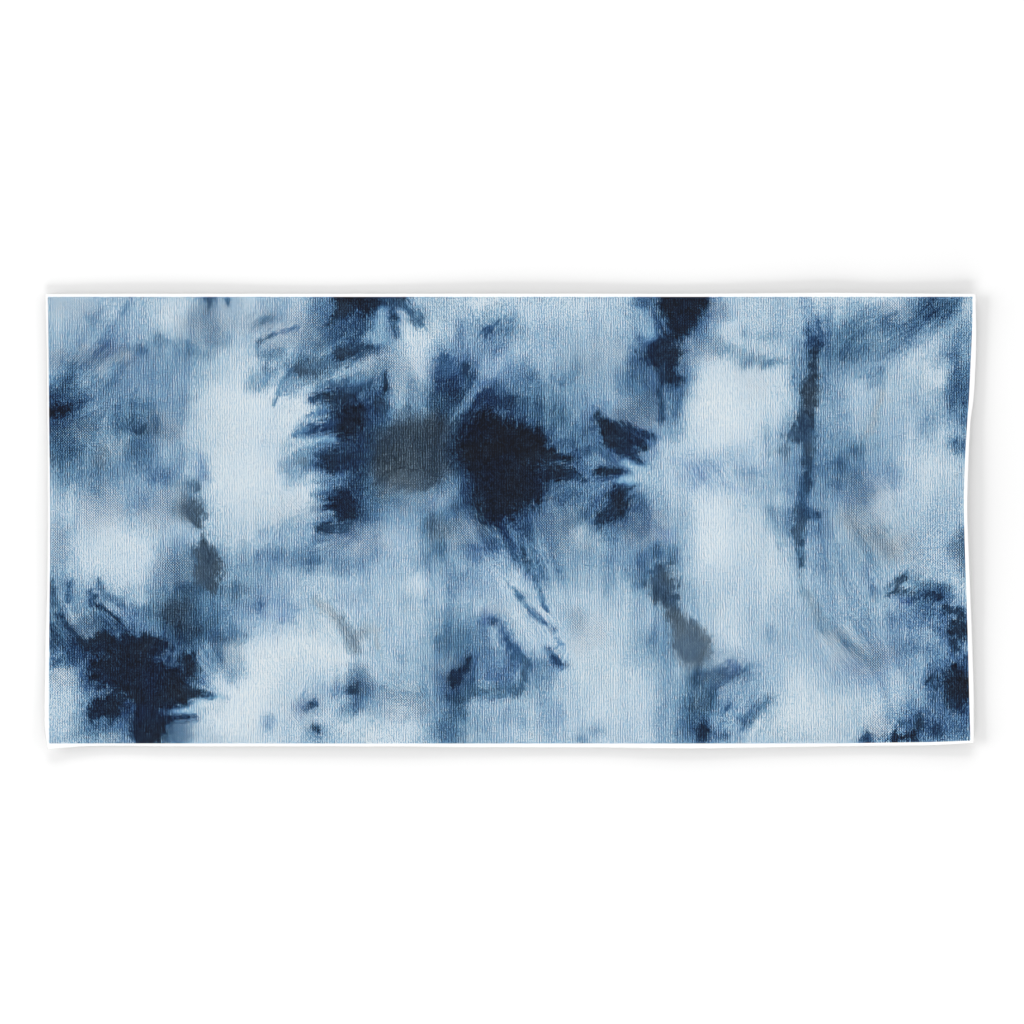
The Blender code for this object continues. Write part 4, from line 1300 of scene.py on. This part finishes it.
def twill_strength(x, y):
    """How strongly the twill shows at places in cm."""
    total = np.zeros_like(x)
    ragged = layered_noise(x, y, TWILL_NOISE)
    for patch in TWILLS:
        ring = np.hypot((x - patch.x) / patch.across, (y - patch.y) / patch.up)
        inside = 1.0 - smooth_step((ring + ragged - TWILL_WHOLE) / TWILL_FADE)
        total = np.maximum(total, patch.strength * inside)
    return total


def read_side(rows, column, along):
    """Values of one column of a side's table, on a smooth curve through its rows, by how far
    along the side they stand, which is the table's first column."""
    places = np.array([row[0] for row in rows])
    values = np.array([getattr(row, column) for row in rows])
    before = np.maximum(np.arange(len(rows)) - 1, 0)
    after = np.minimum(np.arange(len(rows)) + 1, len(rows) - 1)
    slopes = (values[after] - values[before]) / (places[after] - places[before])
    along = np.clip(along, places[0], places[-1])
    low = np.clip(np.searchsorted(places, along) - 1, 0, len(rows) - 2)
    span = places[low + 1] - places[low]
    share = (along - places[low]) / span
    step = smooth_step(share)
    start_bend = share * (1.0 - share) ** 2 * span * slopes[low]
    end_bend = share ** 2 * (share - 1.0) * span * slopes[low + 1]
    return values[low] * (1.0 - step) + values[low + 1] * step + start_bend + end_bend


def side_mm(rows, column, along):
    """One column of a side of the cloth, in metres, at distances along it in metres."""
    return read_side(rows, column, along / MM) * MM


def section_height(inset, face, thickness):
    """Height of the top or under face above the cloth's rest, by distance from the edge."""
    rows_mm = [row.in_mm for row in HEM]
    heights = [getattr(row, face) for row in HEM]
    return np.interp(inset / MM, rows_mm, heights) * thickness


def lift(along_x, along_y):
    """How far the cloth rises off the floor, from the lifts of the sides near it."""
    sides = (
        (side_mm(NEAR_SIDE, "lift_mm", along_x), along_y),
        (side_mm(FAR_SIDE, "lift_mm", along_x), WIDTH - along_y),
        (side_mm(LEFT_SIDE, "lift_mm", along_y), along_x),
        (side_mm(RIGHT_SIDE, "lift_mm", along_y), LENGTH - along_x),
    )
    rises = [height * smooth_step(1.0 - inset / LIFT_REACH) for height, inset in sides]
    return np.max(rises, axis=0)


def corner_shift(inset, other_inset):
    """How far a point near a corner moves in from the square onto a quarter disc."""
    over = np.clip(CORNER_RADIUS - inset, 0.0, None)
    other_over = np.clip(CORNER_RADIUS - other_inset, 0.0, None)
    drawn = over * np.sqrt(1.0 - 0.5 * (other_over / CORNER_RADIUS) ** 2)
    return over - drawn


def place_cloth(along_x, along_y, under, thickness, ripple):
    """Places of the cloth's points, from their distances along the plain rectangle."""
    near = -side_mm(NEAR_SIDE, "outset_mm", along_x)
    far = WIDTH + side_mm(FAR_SIDE, "outset_mm", along_x)
    left = -side_mm(LEFT_SIDE, "outset_mm", along_y)
    right = LENGTH + side_mm(RIGHT_SIDE, "outset_mm", along_y)
    x = left + (right - left) * along_x / LENGTH
    y = near + (far - near) * along_y / WIDTH
    inset_x = np.minimum(along_x, LENGTH - along_x)
    inset_y = np.minimum(along_y, WIDTH - along_y)
    x += np.copysign(corner_shift(inset_x, inset_y), LENGTH / 2 - along_x)
    y += np.copysign(corner_shift(inset_y, inset_x), WIDTH / 2 - along_y)
    inset = np.minimum(inset_x, inset_y)
    top_height = section_height(inset, "top", thickness)
    top_height += ripples(along_x, along_y, inset, ripple)
    height = np.where(under, section_height(inset, "under", thickness), top_height)
    x -= (x.min() + x.max()) / 2
    y -= (y.min() + y.max()) / 2
    return x, y, height + lift(along_x, along_y)


def ripples(along_x, along_y, inset, height):
    """The slight unevenness of cloth that was washed and laid out, none at the hem."""
    x, y = along_x / CM, along_y / CM
    swell = layered_noise(x, y, RIPPLE_NOISE) + streak_noise(x, y, ACROSS_TOWEL, RIPPLE_STREAKS)
    return height * swell * smooth_step((inset - HEM_REACH) / RIPPLE_START)


def cloth_lines(full, cells):
    """Grid lines across the cloth: the hem's rows at each edge, even cells between."""
    hem = [row.in_mm * MM for row in HEM[:-1]]
    middle = np.linspace(HEM_REACH, full - HEM_REACH, cells + 1)
    return hem + list(middle) + [full - inset for inset in reversed(hem)]


def make_top(mesh, settings):
    """The top face as a grid. Its points hold their distances along the plain rectangle."""
    lines_x = cloth_lines(LENGTH, settings.cells_along)
    lines_y = cloth_lines(WIDTH, settings.cells_across)
    cells_x, cells_y = len(lines_x) - 1, len(lines_y) - 1
    made = bmesh.ops.create_grid(mesh, x_segments=cells_x, y_segments=cells_y, size=0.5)
    for vert in made["verts"]:
        line_x = round((vert.co.x + 0.5) * cells_x)
        line_y = round((vert.co.y + 0.5) * cells_y)
        vert.co = (lines_x[line_x], lines_y[line_y], 0.0)


def turn_under(mesh):
    """The under face: rings drawn from the top's edge to the flat middle, then one face.
    A ring's number is kept in its points' height, below zero."""
    for ring, inset_mm in enumerate(UNDER_ROWS_MM, start=1):
        inset = inset_mm * MM
        edges = [edge for edge in mesh.edges if edge.is_boundary]
        made = bmesh.ops.extrude_edge_only(mesh, edges=edges)
        for vert in made["geom"]:
            if isinstance(vert, bmesh.types.BMVert):
                vert.co.x = min(max(vert.co.x, inset), LENGTH - inset)
                vert.co.y = min(max(vert.co.y, inset), WIDTH - inset)
                vert.co.z = -ring
    bmesh.ops.remove_doubles(mesh, verts=mesh.verts, dist=MERGE_WITHIN)
    edges = [edge for edge in mesh.edges if edge.is_boundary]
    bmesh.ops.contextual_create(mesh, geom=edges)
    bmesh.ops.recalc_face_normals(mesh, faces=mesh.faces)
    for face in mesh.faces:
        face.material_index = int(min(vert.co.z for vert in face.verts) < 0.0)


def keep_values(data, name, values):
    """Keep a value for each of the mesh's points, for the materials to read."""
    layer = data.attributes.new(name, "FLOAT", "POINT")
    layer.data.foreach_set("value", np.asarray(values, dtype=np.float32))


def print_inset(x, y):
    """How far inside the print's edge places in cm lie."""
    left = read_side(PRINT_LEFT, "edge_cm", y)
    right = read_side(PRINT_RIGHT, "edge_cm", y)
    near = read_side(PRINT_NEAR, "edge_cm", x)
    return np.min([x - left, right - x, y - near, PRINT_FAR_CM - y], axis=0)


def steepness(values, x, y, grid):
    """How steeply values change over the top's points."""
    shape, order = grid
    rows, rows_x, rows_y = [field[order].reshape(shape) for field in (values, x, y)]
    slope_x = np.gradient(rows, axis=1) / np.gradient(rows_x, axis=1)
    slope_y = np.gradient(rows, axis=0) / np.gradient(rows_y, axis=0)
    steep = np.empty_like(values)
    steep[order] = np.hypot(slope_x, slope_y).ravel()
    return steep


def dye_cloth(data, top, grid, x, y):
    """Paint the top's points, and keep what the printed velour reads."""
    x_cm, y_cm = x / CM + BOX_MIDDLE_CM[0], y / CM + BOX_MIDDLE_CM[1]
    tone, hue, wet, bare = paint_dye(x_cm, y_cm)
    way, strength = run_of_dye(x_cm, y_cm)
    values = {
        "dye_tone": tone,
        "dye_hue": hue,
        "dye_bleed": steepness(tone, x_cm, y_cm, grid),
        "wet_edge": wet[0],
        "wet_tone": wet[1],
        "wet_hue": wet[2],
        "bare_edge": bare[0],
        "bare_tone": bare[1],
        "bare_hue": bare[2],
        "run_east": way[0] ** 2 - way[1] ** 2,
        "run_north": 2.0 * way[0] * way[1],
        "run_strength": strength,
        "twill": twill_strength(x_cm, y_cm),
        "print_inset": print_inset(x_cm, y_cm) * CM,
    }
    for name, top_values in values.items():
        whole = np.zeros(len(top))
        whole[top] = top_values
        keep_values(data, name, whole)


def lay_out_maps(data, x, y):
    """One map for the whole cloth: the top in its upper half, the underside below."""
    layer = data.uv_layers.new(name="OFBake")
    loops = len(data.loops)
    corner = np.empty(loops, dtype=np.int32)
    data.loops.foreach_get("vertex_index", corner)
    face_start = np.empty(len(data.polygons), dtype=np.int32)
    data.polygons.foreach_get("loop_start", face_start)
    finish = np.empty(len(data.polygons), dtype=np.int32)
    data.polygons.foreach_get("material_index", finish)
    face_of = np.repeat(np.arange(len(face_start)), np.diff(np.append(face_start, loops)))
    wide, deep = x.max() - x.min(), y.max() - y.min()
    u = MAP_GAP + (x[corner] - x.min()) / wide * (1.0 - 2.0 * MAP_GAP)
    v = MAP_GAP + (y[corner] - y.min()) / deep * (0.5 - 2.0 * MAP_GAP)
    v += np.where(finish[face_of] == 0, 0.5, 0.0)
    layer.data.foreach_set("uv", np.stack([u, v], axis=1).ravel())


def build_cloth(settings):
    """The towel's cloth as one closed mesh, dyed and in its place."""
    mesh = bmesh.new()
    make_top(mesh, settings)
    turn_under(mesh)
    data = bpy.data.meshes.new("towel_cloth")
    mesh.to_mesh(data)
    mesh.free()
    count = len(data.vertices)
    places = np.empty(count * 3)
    data.vertices.foreach_get("co", places)
    along_x, along_y, ring = places.reshape(count, 3).T.copy()
    along_x = np.clip(along_x, 0.0, LENGTH)
    along_y = np.clip(along_y, 0.0, WIDTH)
    top = ring > -0.5
    x, y, z = place_cloth(along_x, along_y, ~top, settings.thickness, settings.ripple)
    data.vertices.foreach_set("co", np.stack([x, y, z], axis=1).ravel())
    rows = len(cloth_lines(WIDTH, settings.cells_across))
    order = np.lexsort((along_x[top], along_y[top]))
    dye_cloth(data, top, ((rows, -1), order), x[top], y[top])
    lay_out_maps(data, x, y)
    data.shade_smooth()
    data.update()
    cloth = bpy.data.objects.new("towel_cloth", data)
    bpy.context.scene.collection.objects.link(cloth)
    cloth.data.materials.append(printed_velour(settings))
    cloth.data.materials.append(white_terry(settings))
    return cloth


def feed(tree, socket, value):
    """Link a socket to another node's output, or set its plain value."""
    if isinstance(value, bpy.types.NodeSocket):
        tree.links.new(value, socket)
    else:
        socket.default_value = value


def calc(tree, operation, *values):
    """A math node."""
    node = tree.nodes.new("ShaderNodeMath")
    node.operation = operation
    for socket, value in zip(node.inputs, values):
        feed(tree, socket, value)
    return node.outputs["Value"]


def add_up(tree, *parts):
    """The sum of values, each times a plain number."""
    total = 0.0
    for value, weight in parts:
        total = calc(tree, "MULTIPLY_ADD", value, weight, total)
    return total


def mix_colour(tree, share, first, second):
    """A mix of two colours."""
    node = tree.nodes.new("ShaderNodeMix")
    node.data_type = "RGBA"
    feed(tree, node.inputs["Factor"], share)
    feed(tree, node.inputs["A"], first)
    feed(tree, node.inputs["B"], second)
    return node.outputs["Result"]


def mix_value(tree, share, first, second):
    """A mix of two numbers."""
    node = tree.nodes.new("ShaderNodeMix")
    feed(tree, node.inputs["Factor"], share)
    feed(tree, node.inputs["A"], first)
    feed(tree, node.inputs["B"], second)
    return node.outputs["Result"]


def ease(tree, value, low, high):
    """0 below low, 1 above high, and a soft step between."""
    node = tree.nodes.new("ShaderNodeMapRange")
    node.interpolation_type = "SMOOTHSTEP"
    feed(tree, node.inputs["Value"], value)
    node.inputs["From Min"].default_value = low
    node.inputs["From Max"].default_value = high
    return node.outputs["Result"]


def point_value(tree, name):
    """A value kept for the mesh's points."""
    node = tree.nodes.new("ShaderNodeAttribute")
    node.attribute_name = name
    return node.outputs["Fac"]


def own_place(tree):
    """A place on the piece itself, in metres."""
    return tree.nodes.new("ShaderNodeTexCoord").outputs["Object"]


def own_axes(tree):
    """How far along and across the towel a place on the cloth lies."""
    parts = tree.nodes.new("ShaderNodeSeparateXYZ")
    feed(tree, parts.inputs["Vector"], own_place(tree))
    return parts.outputs["X"], parts.outputs["Y"]


def lumps(tree, lump, detail=1.0):
    """Noise from -1 to 1 with lumps of a given size."""
    move = tree.nodes.new("ShaderNodeMapping")
    feed(tree, move.inputs["Vector"], own_place(tree))
    move.inputs["Scale"].default_value = (1.0 / lump.along, 1.0 / lump.across, 0.0)
    move.inputs["Location"].default_value = (lump.seed, 2.0 * lump.seed, lump.seed)
    noise = tree.nodes.new("ShaderNodeTexNoise")
    feed(tree, noise.inputs["Vector"], move.outputs["Vector"])
    noise.inputs["Scale"].default_value = 1.0
    noise.inputs["Detail"].default_value = detail
    return calc(tree, "MULTIPLY_ADD", noise.outputs["Fac"], LUMP_GAIN, -LUMP_GAIN / 2.0)


def wave(tree, along, pitch, wobble):
    """A sine along a coordinate, pushed about by a wobble in metres."""
    pushed = calc(tree, "ADD", along, wobble)
    return calc(tree, "SINE", calc(tree, "MULTIPLY", pushed, 2.0 * math.pi / pitch))


def ramp(tree, tone, colours):
    """Dye of one kind from bare cloth to its darkest."""
    node = tree.nodes.new("ShaderNodeValToRGB")
    stops = node.color_ramp.elements
    while len(stops) < len(colours):
        stops.new(1.0)
    for index, colour in enumerate(colours):
        stops[index].position = index / (len(colours) - 1)
        stops[index].color = (*albedo(colour), 1.0)
    feed(tree, node.inputs["Fac"], tone)
    return node.outputs["Color"]


def albedo(colour):
    """The share of light a finish returns, from its colour on screen under this studio."""
    return [screen_to_linear(channel / 255.0) / STUDIO_LIGHT for channel in colour]


def screen_to_linear(value):
    """One channel of a colour on screen as linear light, by the standard curve of screens."""
    if value <= 0.04045:
        return value / 12.92
    return ((value + 0.055) / 1.055) ** 2.4


def threads(tree):
    """The cloth's threads across the towel, broken and slubbed, from about -1 to 1."""
    along, _ = own_axes(tree)
    wobble = calc(tree, "MULTIPLY", lumps(tree, THREAD_WOBBLE), THREAD_STRAY)
    even = wave(tree, along, THREAD_PITCH, wobble)
    broken = calc(tree, "MULTIPLY", even, lumps(tree, THREAD_BREAKS))
    slubs = lumps(tree, THREAD_SLUBS)
    return add_up(tree, (broken, BROKEN_SHARE), (even, EVEN_SHARE), (slubs, SLUB_SHARE))


def twill(tree):
    """Raised points of the twill, both ways across the cloth, from -1 to 1."""
    along, across = own_axes(tree)
    wobble = calc(tree, "MULTIPLY", lumps(tree, TWILL_WOBBLE), TWILL_STRAY)
    along_wave = wave(tree, along, TWILL_PITCH, wobble)
    across_wave = wave(tree, across, TWILL_PITCH, wobble)
    return calc(tree, "MULTIPLY", along_wave, across_wave)


def fine_streaks(tree):
    """Fine streaks along the way the dye has run, from about -1 to 1 where it has run most."""
    turn = calc(tree, "ARCTAN2", point_value(tree, "run_north"), point_value(tree, "run_east"))
    turn = calc(tree, "MULTIPLY_ADD", turn, 0.5, math.pi / 2.0)
    total = 0.0
    for pitch, weight in STREAK_SIZES:
        node = tree.nodes.new("ShaderNodeTexGabor")
        feed(tree, node.inputs["Vector"], own_place(tree))
        node.inputs["Scale"].default_value = 1.0 / (pitch * STREAK_BANDS)
        node.inputs["Frequency"].default_value = STREAK_BANDS
        node.inputs["Anisotropy"].default_value = STREAK_STRAIGHTNESS
        feed(tree, node.inputs["Orientation"], turn)
        streak = calc(tree, "MULTIPLY_ADD", node.outputs["Value"], 2.0, -1.0)
        total = calc(tree, "MULTIPLY_ADD", streak, weight, total)
    return calc(tree, "MULTIPLY", total, point_value(tree, "run_strength"))


def new_finish(name):
    """A new material that is made of nodes."""
    material = bpy.data.materials.new(name)
    material.use_nodes = True
    return material


def cloth_shader(tree, colour, relief, depth, roughness):
    """Connect a cloth's colour, relief and roughness to its shader, and set how it shines."""
    shader = tree.nodes["Principled BSDF"]
    feed(tree, shader.inputs["Base Color"], colour)
    feed(tree, shader.inputs["Roughness"], roughness)
    shader.inputs["Specular IOR Level"].default_value = COTTON_SHINE
    shader.inputs["Sheen Weight"].default_value = COTTON_SHEEN
    shader.inputs["Sheen Roughness"].default_value = SHEEN_ROUGHNESS
    bump = tree.nodes.new("ShaderNodeBump")
    bump.inputs["Distance"].default_value = depth
    bump.inputs["Strength"].default_value = 1.0
    feed(tree, bump.inputs["Height"], relief)
    tree.links.new(bump.outputs["Normal"], shader.inputs["Normal"])


def lay_over(tree, share, under, over):
    """One dye's tone and hue laid over another's."""
    return [mix_value(tree, share, first, second) for first, second in zip(under, over)]


def dye_colour(tree, tone, hue):
    """The colour of a depth of dye, between indigo and charcoal or indigo and azure."""
    indigo, charcoal, azure = [ramp(tree, tone, colours) for colours in (INDIGO, CHARCOAL, AZURE)]
    colour = mix_colour(tree, calc(tree, "MAXIMUM", hue, 0.0), indigo, charcoal)
    blueness = calc(tree, "MAXIMUM", calc(tree, "MULTIPLY", hue, -1.0), 0.0)
    return mix_colour(tree, blueness, colour, azure)


def weave_of_velour(tree):
    """The parts of the velour's weave, each from about -1 to 1."""
    raised = add_up(tree, (point_value(tree, "twill"), TWILL_PATCHES), (1.0, TWILL_EVERYWHERE))
    return Weave(
        thread=threads(tree),
        twill=calc(tree, "MULTIPLY", twill(tree), raised),
        blotch=lumps(tree, BLOTCHES),
        fleck=lumps(tree, FLECKS),
        streak=fine_streaks(tree),
    )


def weigh(tree, weave, shares):
    """The sum of the weave's parts, each by its share."""
    return add_up(tree, *[(part, share) for part, share in zip(weave, shares) if share])


def dye_in_weave(tree, weave):
    """Tone and hue of the dye: the soft clouds, and the dark and the bare marks over them."""
    tone = point_value(tree, "dye_tone")
    calm = calc(tree, "MULTIPLY", tone, tone)
    lively = add_up(tree, (calm, -DARK_CALM), (1.0, 1.0))
    grain = calc(tree, "MULTIPLY", weigh(tree, weave, TONE_WEAVE), lively)
    bleed = calc(tree, "MINIMUM", point_value(tree, "dye_bleed"), BLEED_LIMIT)
    bled = calc(tree, "MULTIPLY", weave.thread, bleed)
    half_dyed = calc(tree, "MULTIPLY", tone, calc(tree, "SUBTRACT", 1.0, tone))
    streaked = calc(tree, "MULTIPLY", weave.streak, half_dyed)
    tone = add_up(tree, (tone, 1.0), (grain, 1.0), (bled, BLEED_TONE), (streaked, STREAK_TONE))
    dark = add_up(tree, (grain, DARK_GRAIN), (weave.blotch, DARK_BLOTCH), (weave.streak, DARK_STREAK))
    ragged = weigh(tree, weave, EDGE_WEAVE)
    dye = (tone, point_value(tree, "dye_hue"))
    for kind, texture in (("wet", dark), ("bare", grain)):
        inside = calc(tree, "SUBTRACT", ragged, point_value(tree, f"{kind}_edge"))
        mark_tone = calc(tree, "ADD", texture, point_value(tree, f"{kind}_tone"))
        mark_hue = point_value(tree, f"{kind}_hue")
        dye = lay_over(tree, ease(tree, inside, -1.0, 1.0), dye, (mark_tone, mark_hue))
    return dye


def printed_velour(settings):
    """The sheared face: dye that has run in the cloth, its threads and twill, and the
    white margin that the print leaves."""
    material = new_finish("printed_velour")
    tree = material.node_tree
    weave = weave_of_velour(tree)
    tone, hue = dye_in_weave(tree, weave)
    printed = ease(tree, point_value(tree, "print_inset"), -PRINT_SOFTNESS, PRINT_SOFTNESS)
    colour = mix_colour(tree, printed, (*settings.cotton_white, 1.0), dye_colour(tree, tone, hue))
    roughness = calc(tree, "MULTIPLY_ADD", weave.fleck, VELOUR_ROUGHER, VELOUR_ROUGHNESS)
    cloth_shader(tree, colour, weigh(tree, weave, RELIEF_WEAVE), VELOUR_DEPTH, roughness)
    return material


def white_terry(settings):
    """The underside: undyed cotton loops in rows, with painted shade in the hollows between them."""
    material = new_finish("white_terry")
    tree = material.node_tree
    loops = tree.nodes.new("ShaderNodeTexVoronoi")
    feed(tree, loops.inputs["Vector"], own_place(tree))
    loops.inputs["Scale"].default_value = 1.0 / LOOP_PITCH
    height = calc(tree, "SUBTRACT", 1.0, loops.outputs["Distance"])
    # Painted shade: the colour darkens towards TERRY_SHADE where the loops are low
    white = ease(tree, height, SHADE_BELOW, WHITE_ABOVE)
    colour = mix_colour(tree, white, TERRY_SHADE, (*settings.cotton_white, 1.0))
    roughness = calc(tree, "MULTIPLY_ADD", height, TERRY_ROUGHER, TERRY_ROUGHNESS)
    cloth_shader(tree, colour, height, TERRY_DEPTH, roughness)
    return material


def studio_floor(colour):
    """A plain pale floor with the faintest unevenness."""
    material = new_finish("studio_floor")
    tree = material.node_tree
    shader = tree.nodes["Principled BSDF"]
    shade = ease(tree, lumps(tree, FLOOR_LUMPS, detail=2.0), -2.0, 2.0)
    paler = [min(channel * FLOOR_PALER, 1.0) for channel in colour]
    feed(tree, shader.inputs["Base Color"], mix_colour(tree, shade, (*colour, 1.0), (*paler, 1.0)))
    shader.inputs["Roughness"].default_value = 1.0
    shader.inputs["Specular IOR Level"].default_value = 0.0
    return material


def aim(thing, stand, target):
    """Stand a light somewhere and turn it to a point."""
    thing.location = stand
    thing.rotation_euler = (Vector(target) - Vector(stand)).to_track_quat("-Z", "Y").to_euler()


def add_camera(settings):
    """The camera straight above the towel, level with the photo's frame."""
    data = bpy.data.cameras.new("camera")
    data.lens = settings.lens
    data.sensor_width = SENSOR_WIDTH
    camera = bpy.data.objects.new("camera", data)
    camera.location = (settings.view_x, settings.view_y, settings.view_height)
    bpy.context.scene.collection.objects.link(camera)
    bpy.context.scene.camera = camera


def add_floor(settings):
    """A plain pale floor under the towel."""
    mesh = bmesh.new()
    bmesh.ops.create_grid(mesh, x_segments=1, y_segments=1, size=settings.floor_size / 2)
    data = bpy.data.meshes.new("studio_floor")
    mesh.to_mesh(data)
    mesh.free()
    floor = bpy.data.objects.new("studio_floor", data)
    bpy.context.scene.collection.objects.link(floor)
    data.materials.append(studio_floor(settings.floor_colour))
    return floor


def add_softbox(box, receiver):
    """One soft light that reaches one collection of things."""
    data = bpy.data.lights.new(box.name, "AREA")
    data.shape = "RECTANGLE"
    data.size = box.across
    data.size_y = box.up
    data.energy = box.watts
    light = bpy.data.objects.new(box.name, data)
    aim(light, box.stand, box.target)
    light.visible_camera = False
    light.light_linking.receiver_collection = receiver
    bpy.context.scene.collection.objects.link(light)


def gather(name, things):
    """A collection that only lights look at."""
    group = bpy.data.collections.new(name)
    for thing in things:
        group.objects.link(thing)
    return group


def build_studio(settings):
    """Floor, camera, plain soft light from all round, and soft boxes."""
    scene = bpy.context.scene
    scene.view_settings.view_transform = "Standard"
    scene.view_settings.look = "None"
    floor = add_floor(settings)
    add_camera(settings)
    world = bpy.data.worlds.new("studio")
    world.use_nodes = True
    world.node_tree.nodes["Background"].inputs["Color"].default_value = (1.0, 1.0, 1.0, 1.0)
    world.node_tree.nodes["Background"].inputs["Strength"].default_value = settings.dome
    scene.world = world
    things = [thing for thing in scene.objects if thing.type == "MESH" and thing is not floor]
    receivers = {"floor": gather("floor_light", [floor]), "cloth": gather("cloth_light", things)}
    for box in SOFTBOXES:
        add_softbox(box, receivers[box.lights])


class TowelSettings(PropertyGroup):
    """Sizes and colours of the cloth."""

    thickness: FloatProperty(
        name="Thickness",
        description="How thick the pile and ground cloth are together",
        default=0.0030,
        min=0.0005,
        unit="LENGTH",
    )
    ripple: FloatProperty(
        name="Ripple",
        description="How far the top wanders up and down where the cloth lies uneven",
        default=0.00035,
        min=0.0,
        unit="LENGTH",
    )
    cells_along: IntProperty(
        name="Cells Along",
        description="Mesh cells along the towel between its hems",
        default=424,
        min=20,
    )
    cells_across: IntProperty(
        name="Cells Across",
        description="Mesh cells across the towel between its hems",
        default=196,
        min=10,
    )
    cotton_white: FloatVectorProperty(
        name="Cotton",
        description="Colour of the undyed cotton",
        default=(0.93, 0.93, 0.93),
        subtype="COLOR",
        min=0.0,
        max=1.0,
        size=3,
    )


class StudioSettings(PropertyGroup):
    """The view, the floor and the light from all round."""

    lens: FloatProperty(name="Lens", description="Focal length of the camera in mm", default=100.0, min=10.0)
    view_x: FloatProperty(
        name="View Along",
        description="Where the camera hangs along the towel",
        default=0.00345,
        unit="LENGTH",
    )
    view_y: FloatProperty(
        name="View Across",
        description="Where the camera hangs across the towel",
        default=0.01785,
        unit="LENGTH",
    )
    view_height: FloatProperty(
        name="View Height",
        description="How high the camera hangs",
        default=5.612,
        min=1.0,
        unit="LENGTH",
    )
    floor_size: FloatProperty(
        name="Floor Size",
        description="Length of each side of the floor",
        default=40.0,
        min=2.0,
        unit="LENGTH",
    )
    floor_colour: FloatVectorProperty(
        name="Floor",
        description="Colour of the floor",
        default=(0.76, 0.76, 0.76),
        subtype="COLOR",
        min=0.0,
        max=1.0,
        size=3,
    )
    dome: FloatProperty(
        name="Dome",
        description="Strength of the plain white light from all round",
        default=0.25,
        min=0.0,
    )


class TOWEL_OT_cloth(Operator):
    """Build the tie-dyed towel in place of its plain solid"""

    bl_idname = "towel.cloth"
    bl_label = "Towel Cloth"

    def execute(self, context):
        """Build the cloth and tell the frame what it is."""
        cloth = build_cloth(context.scene.towel_settings)
        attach(cloth, "root")
        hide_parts("towel")
        return {"FINISHED"}


class TOWEL_OT_studio(Operator):
    """Build the floor, camera and lights"""

    bl_idname = "towel.studio"
    bl_label = "Studio"

    def execute(self, context):
        """Build the studio round what is there."""
        build_studio(context.scene.towel_studio)
        return {"FINISHED"}


class TOWEL_PT_sidebar(Panel):
    """The towel's sizes, colours and operators"""

    bl_idname = "TOWEL_PT_sidebar"
    bl_label = "Beach Towel"
    bl_space_type = "VIEW_3D"
    bl_region_type = "UI"
    bl_category = "Beach Towel"

    def draw(self, context):
        """List each operator under its settings."""
        groups = (
            (context.scene.towel_settings, TOWEL_OT_cloth),
            (context.scene.towel_studio, TOWEL_OT_studio),
        )
        for settings, operator in groups:
            box = self.layout.box()
            for name in settings.__annotations__:
                box.prop(settings, name)
            box.operator(operator.bl_idname)


CLASSES = (TowelSettings, StudioSettings, TOWEL_OT_cloth, TOWEL_OT_studio, TOWEL_PT_sidebar)


def register():
    """Add the settings, operators and panel to Blender."""
    for cls in CLASSES:
        bpy.utils.register_class(cls)
    bpy.types.Scene.towel_settings = PointerProperty(type=TowelSettings)
    bpy.types.Scene.towel_studio = PointerProperty(type=StudioSettings)


def unregister():
    """Take them out again."""
    del bpy.types.Scene.towel_studio
    del bpy.types.Scene.towel_settings
    for cls in reversed(CLASSES):
        bpy.utils.unregister_class(cls)


def main():
    """Build everything."""
    register()
    bpy.ops.towel.cloth()
    bpy.ops.towel.studio()


if __name__ == "__main__":
    main()
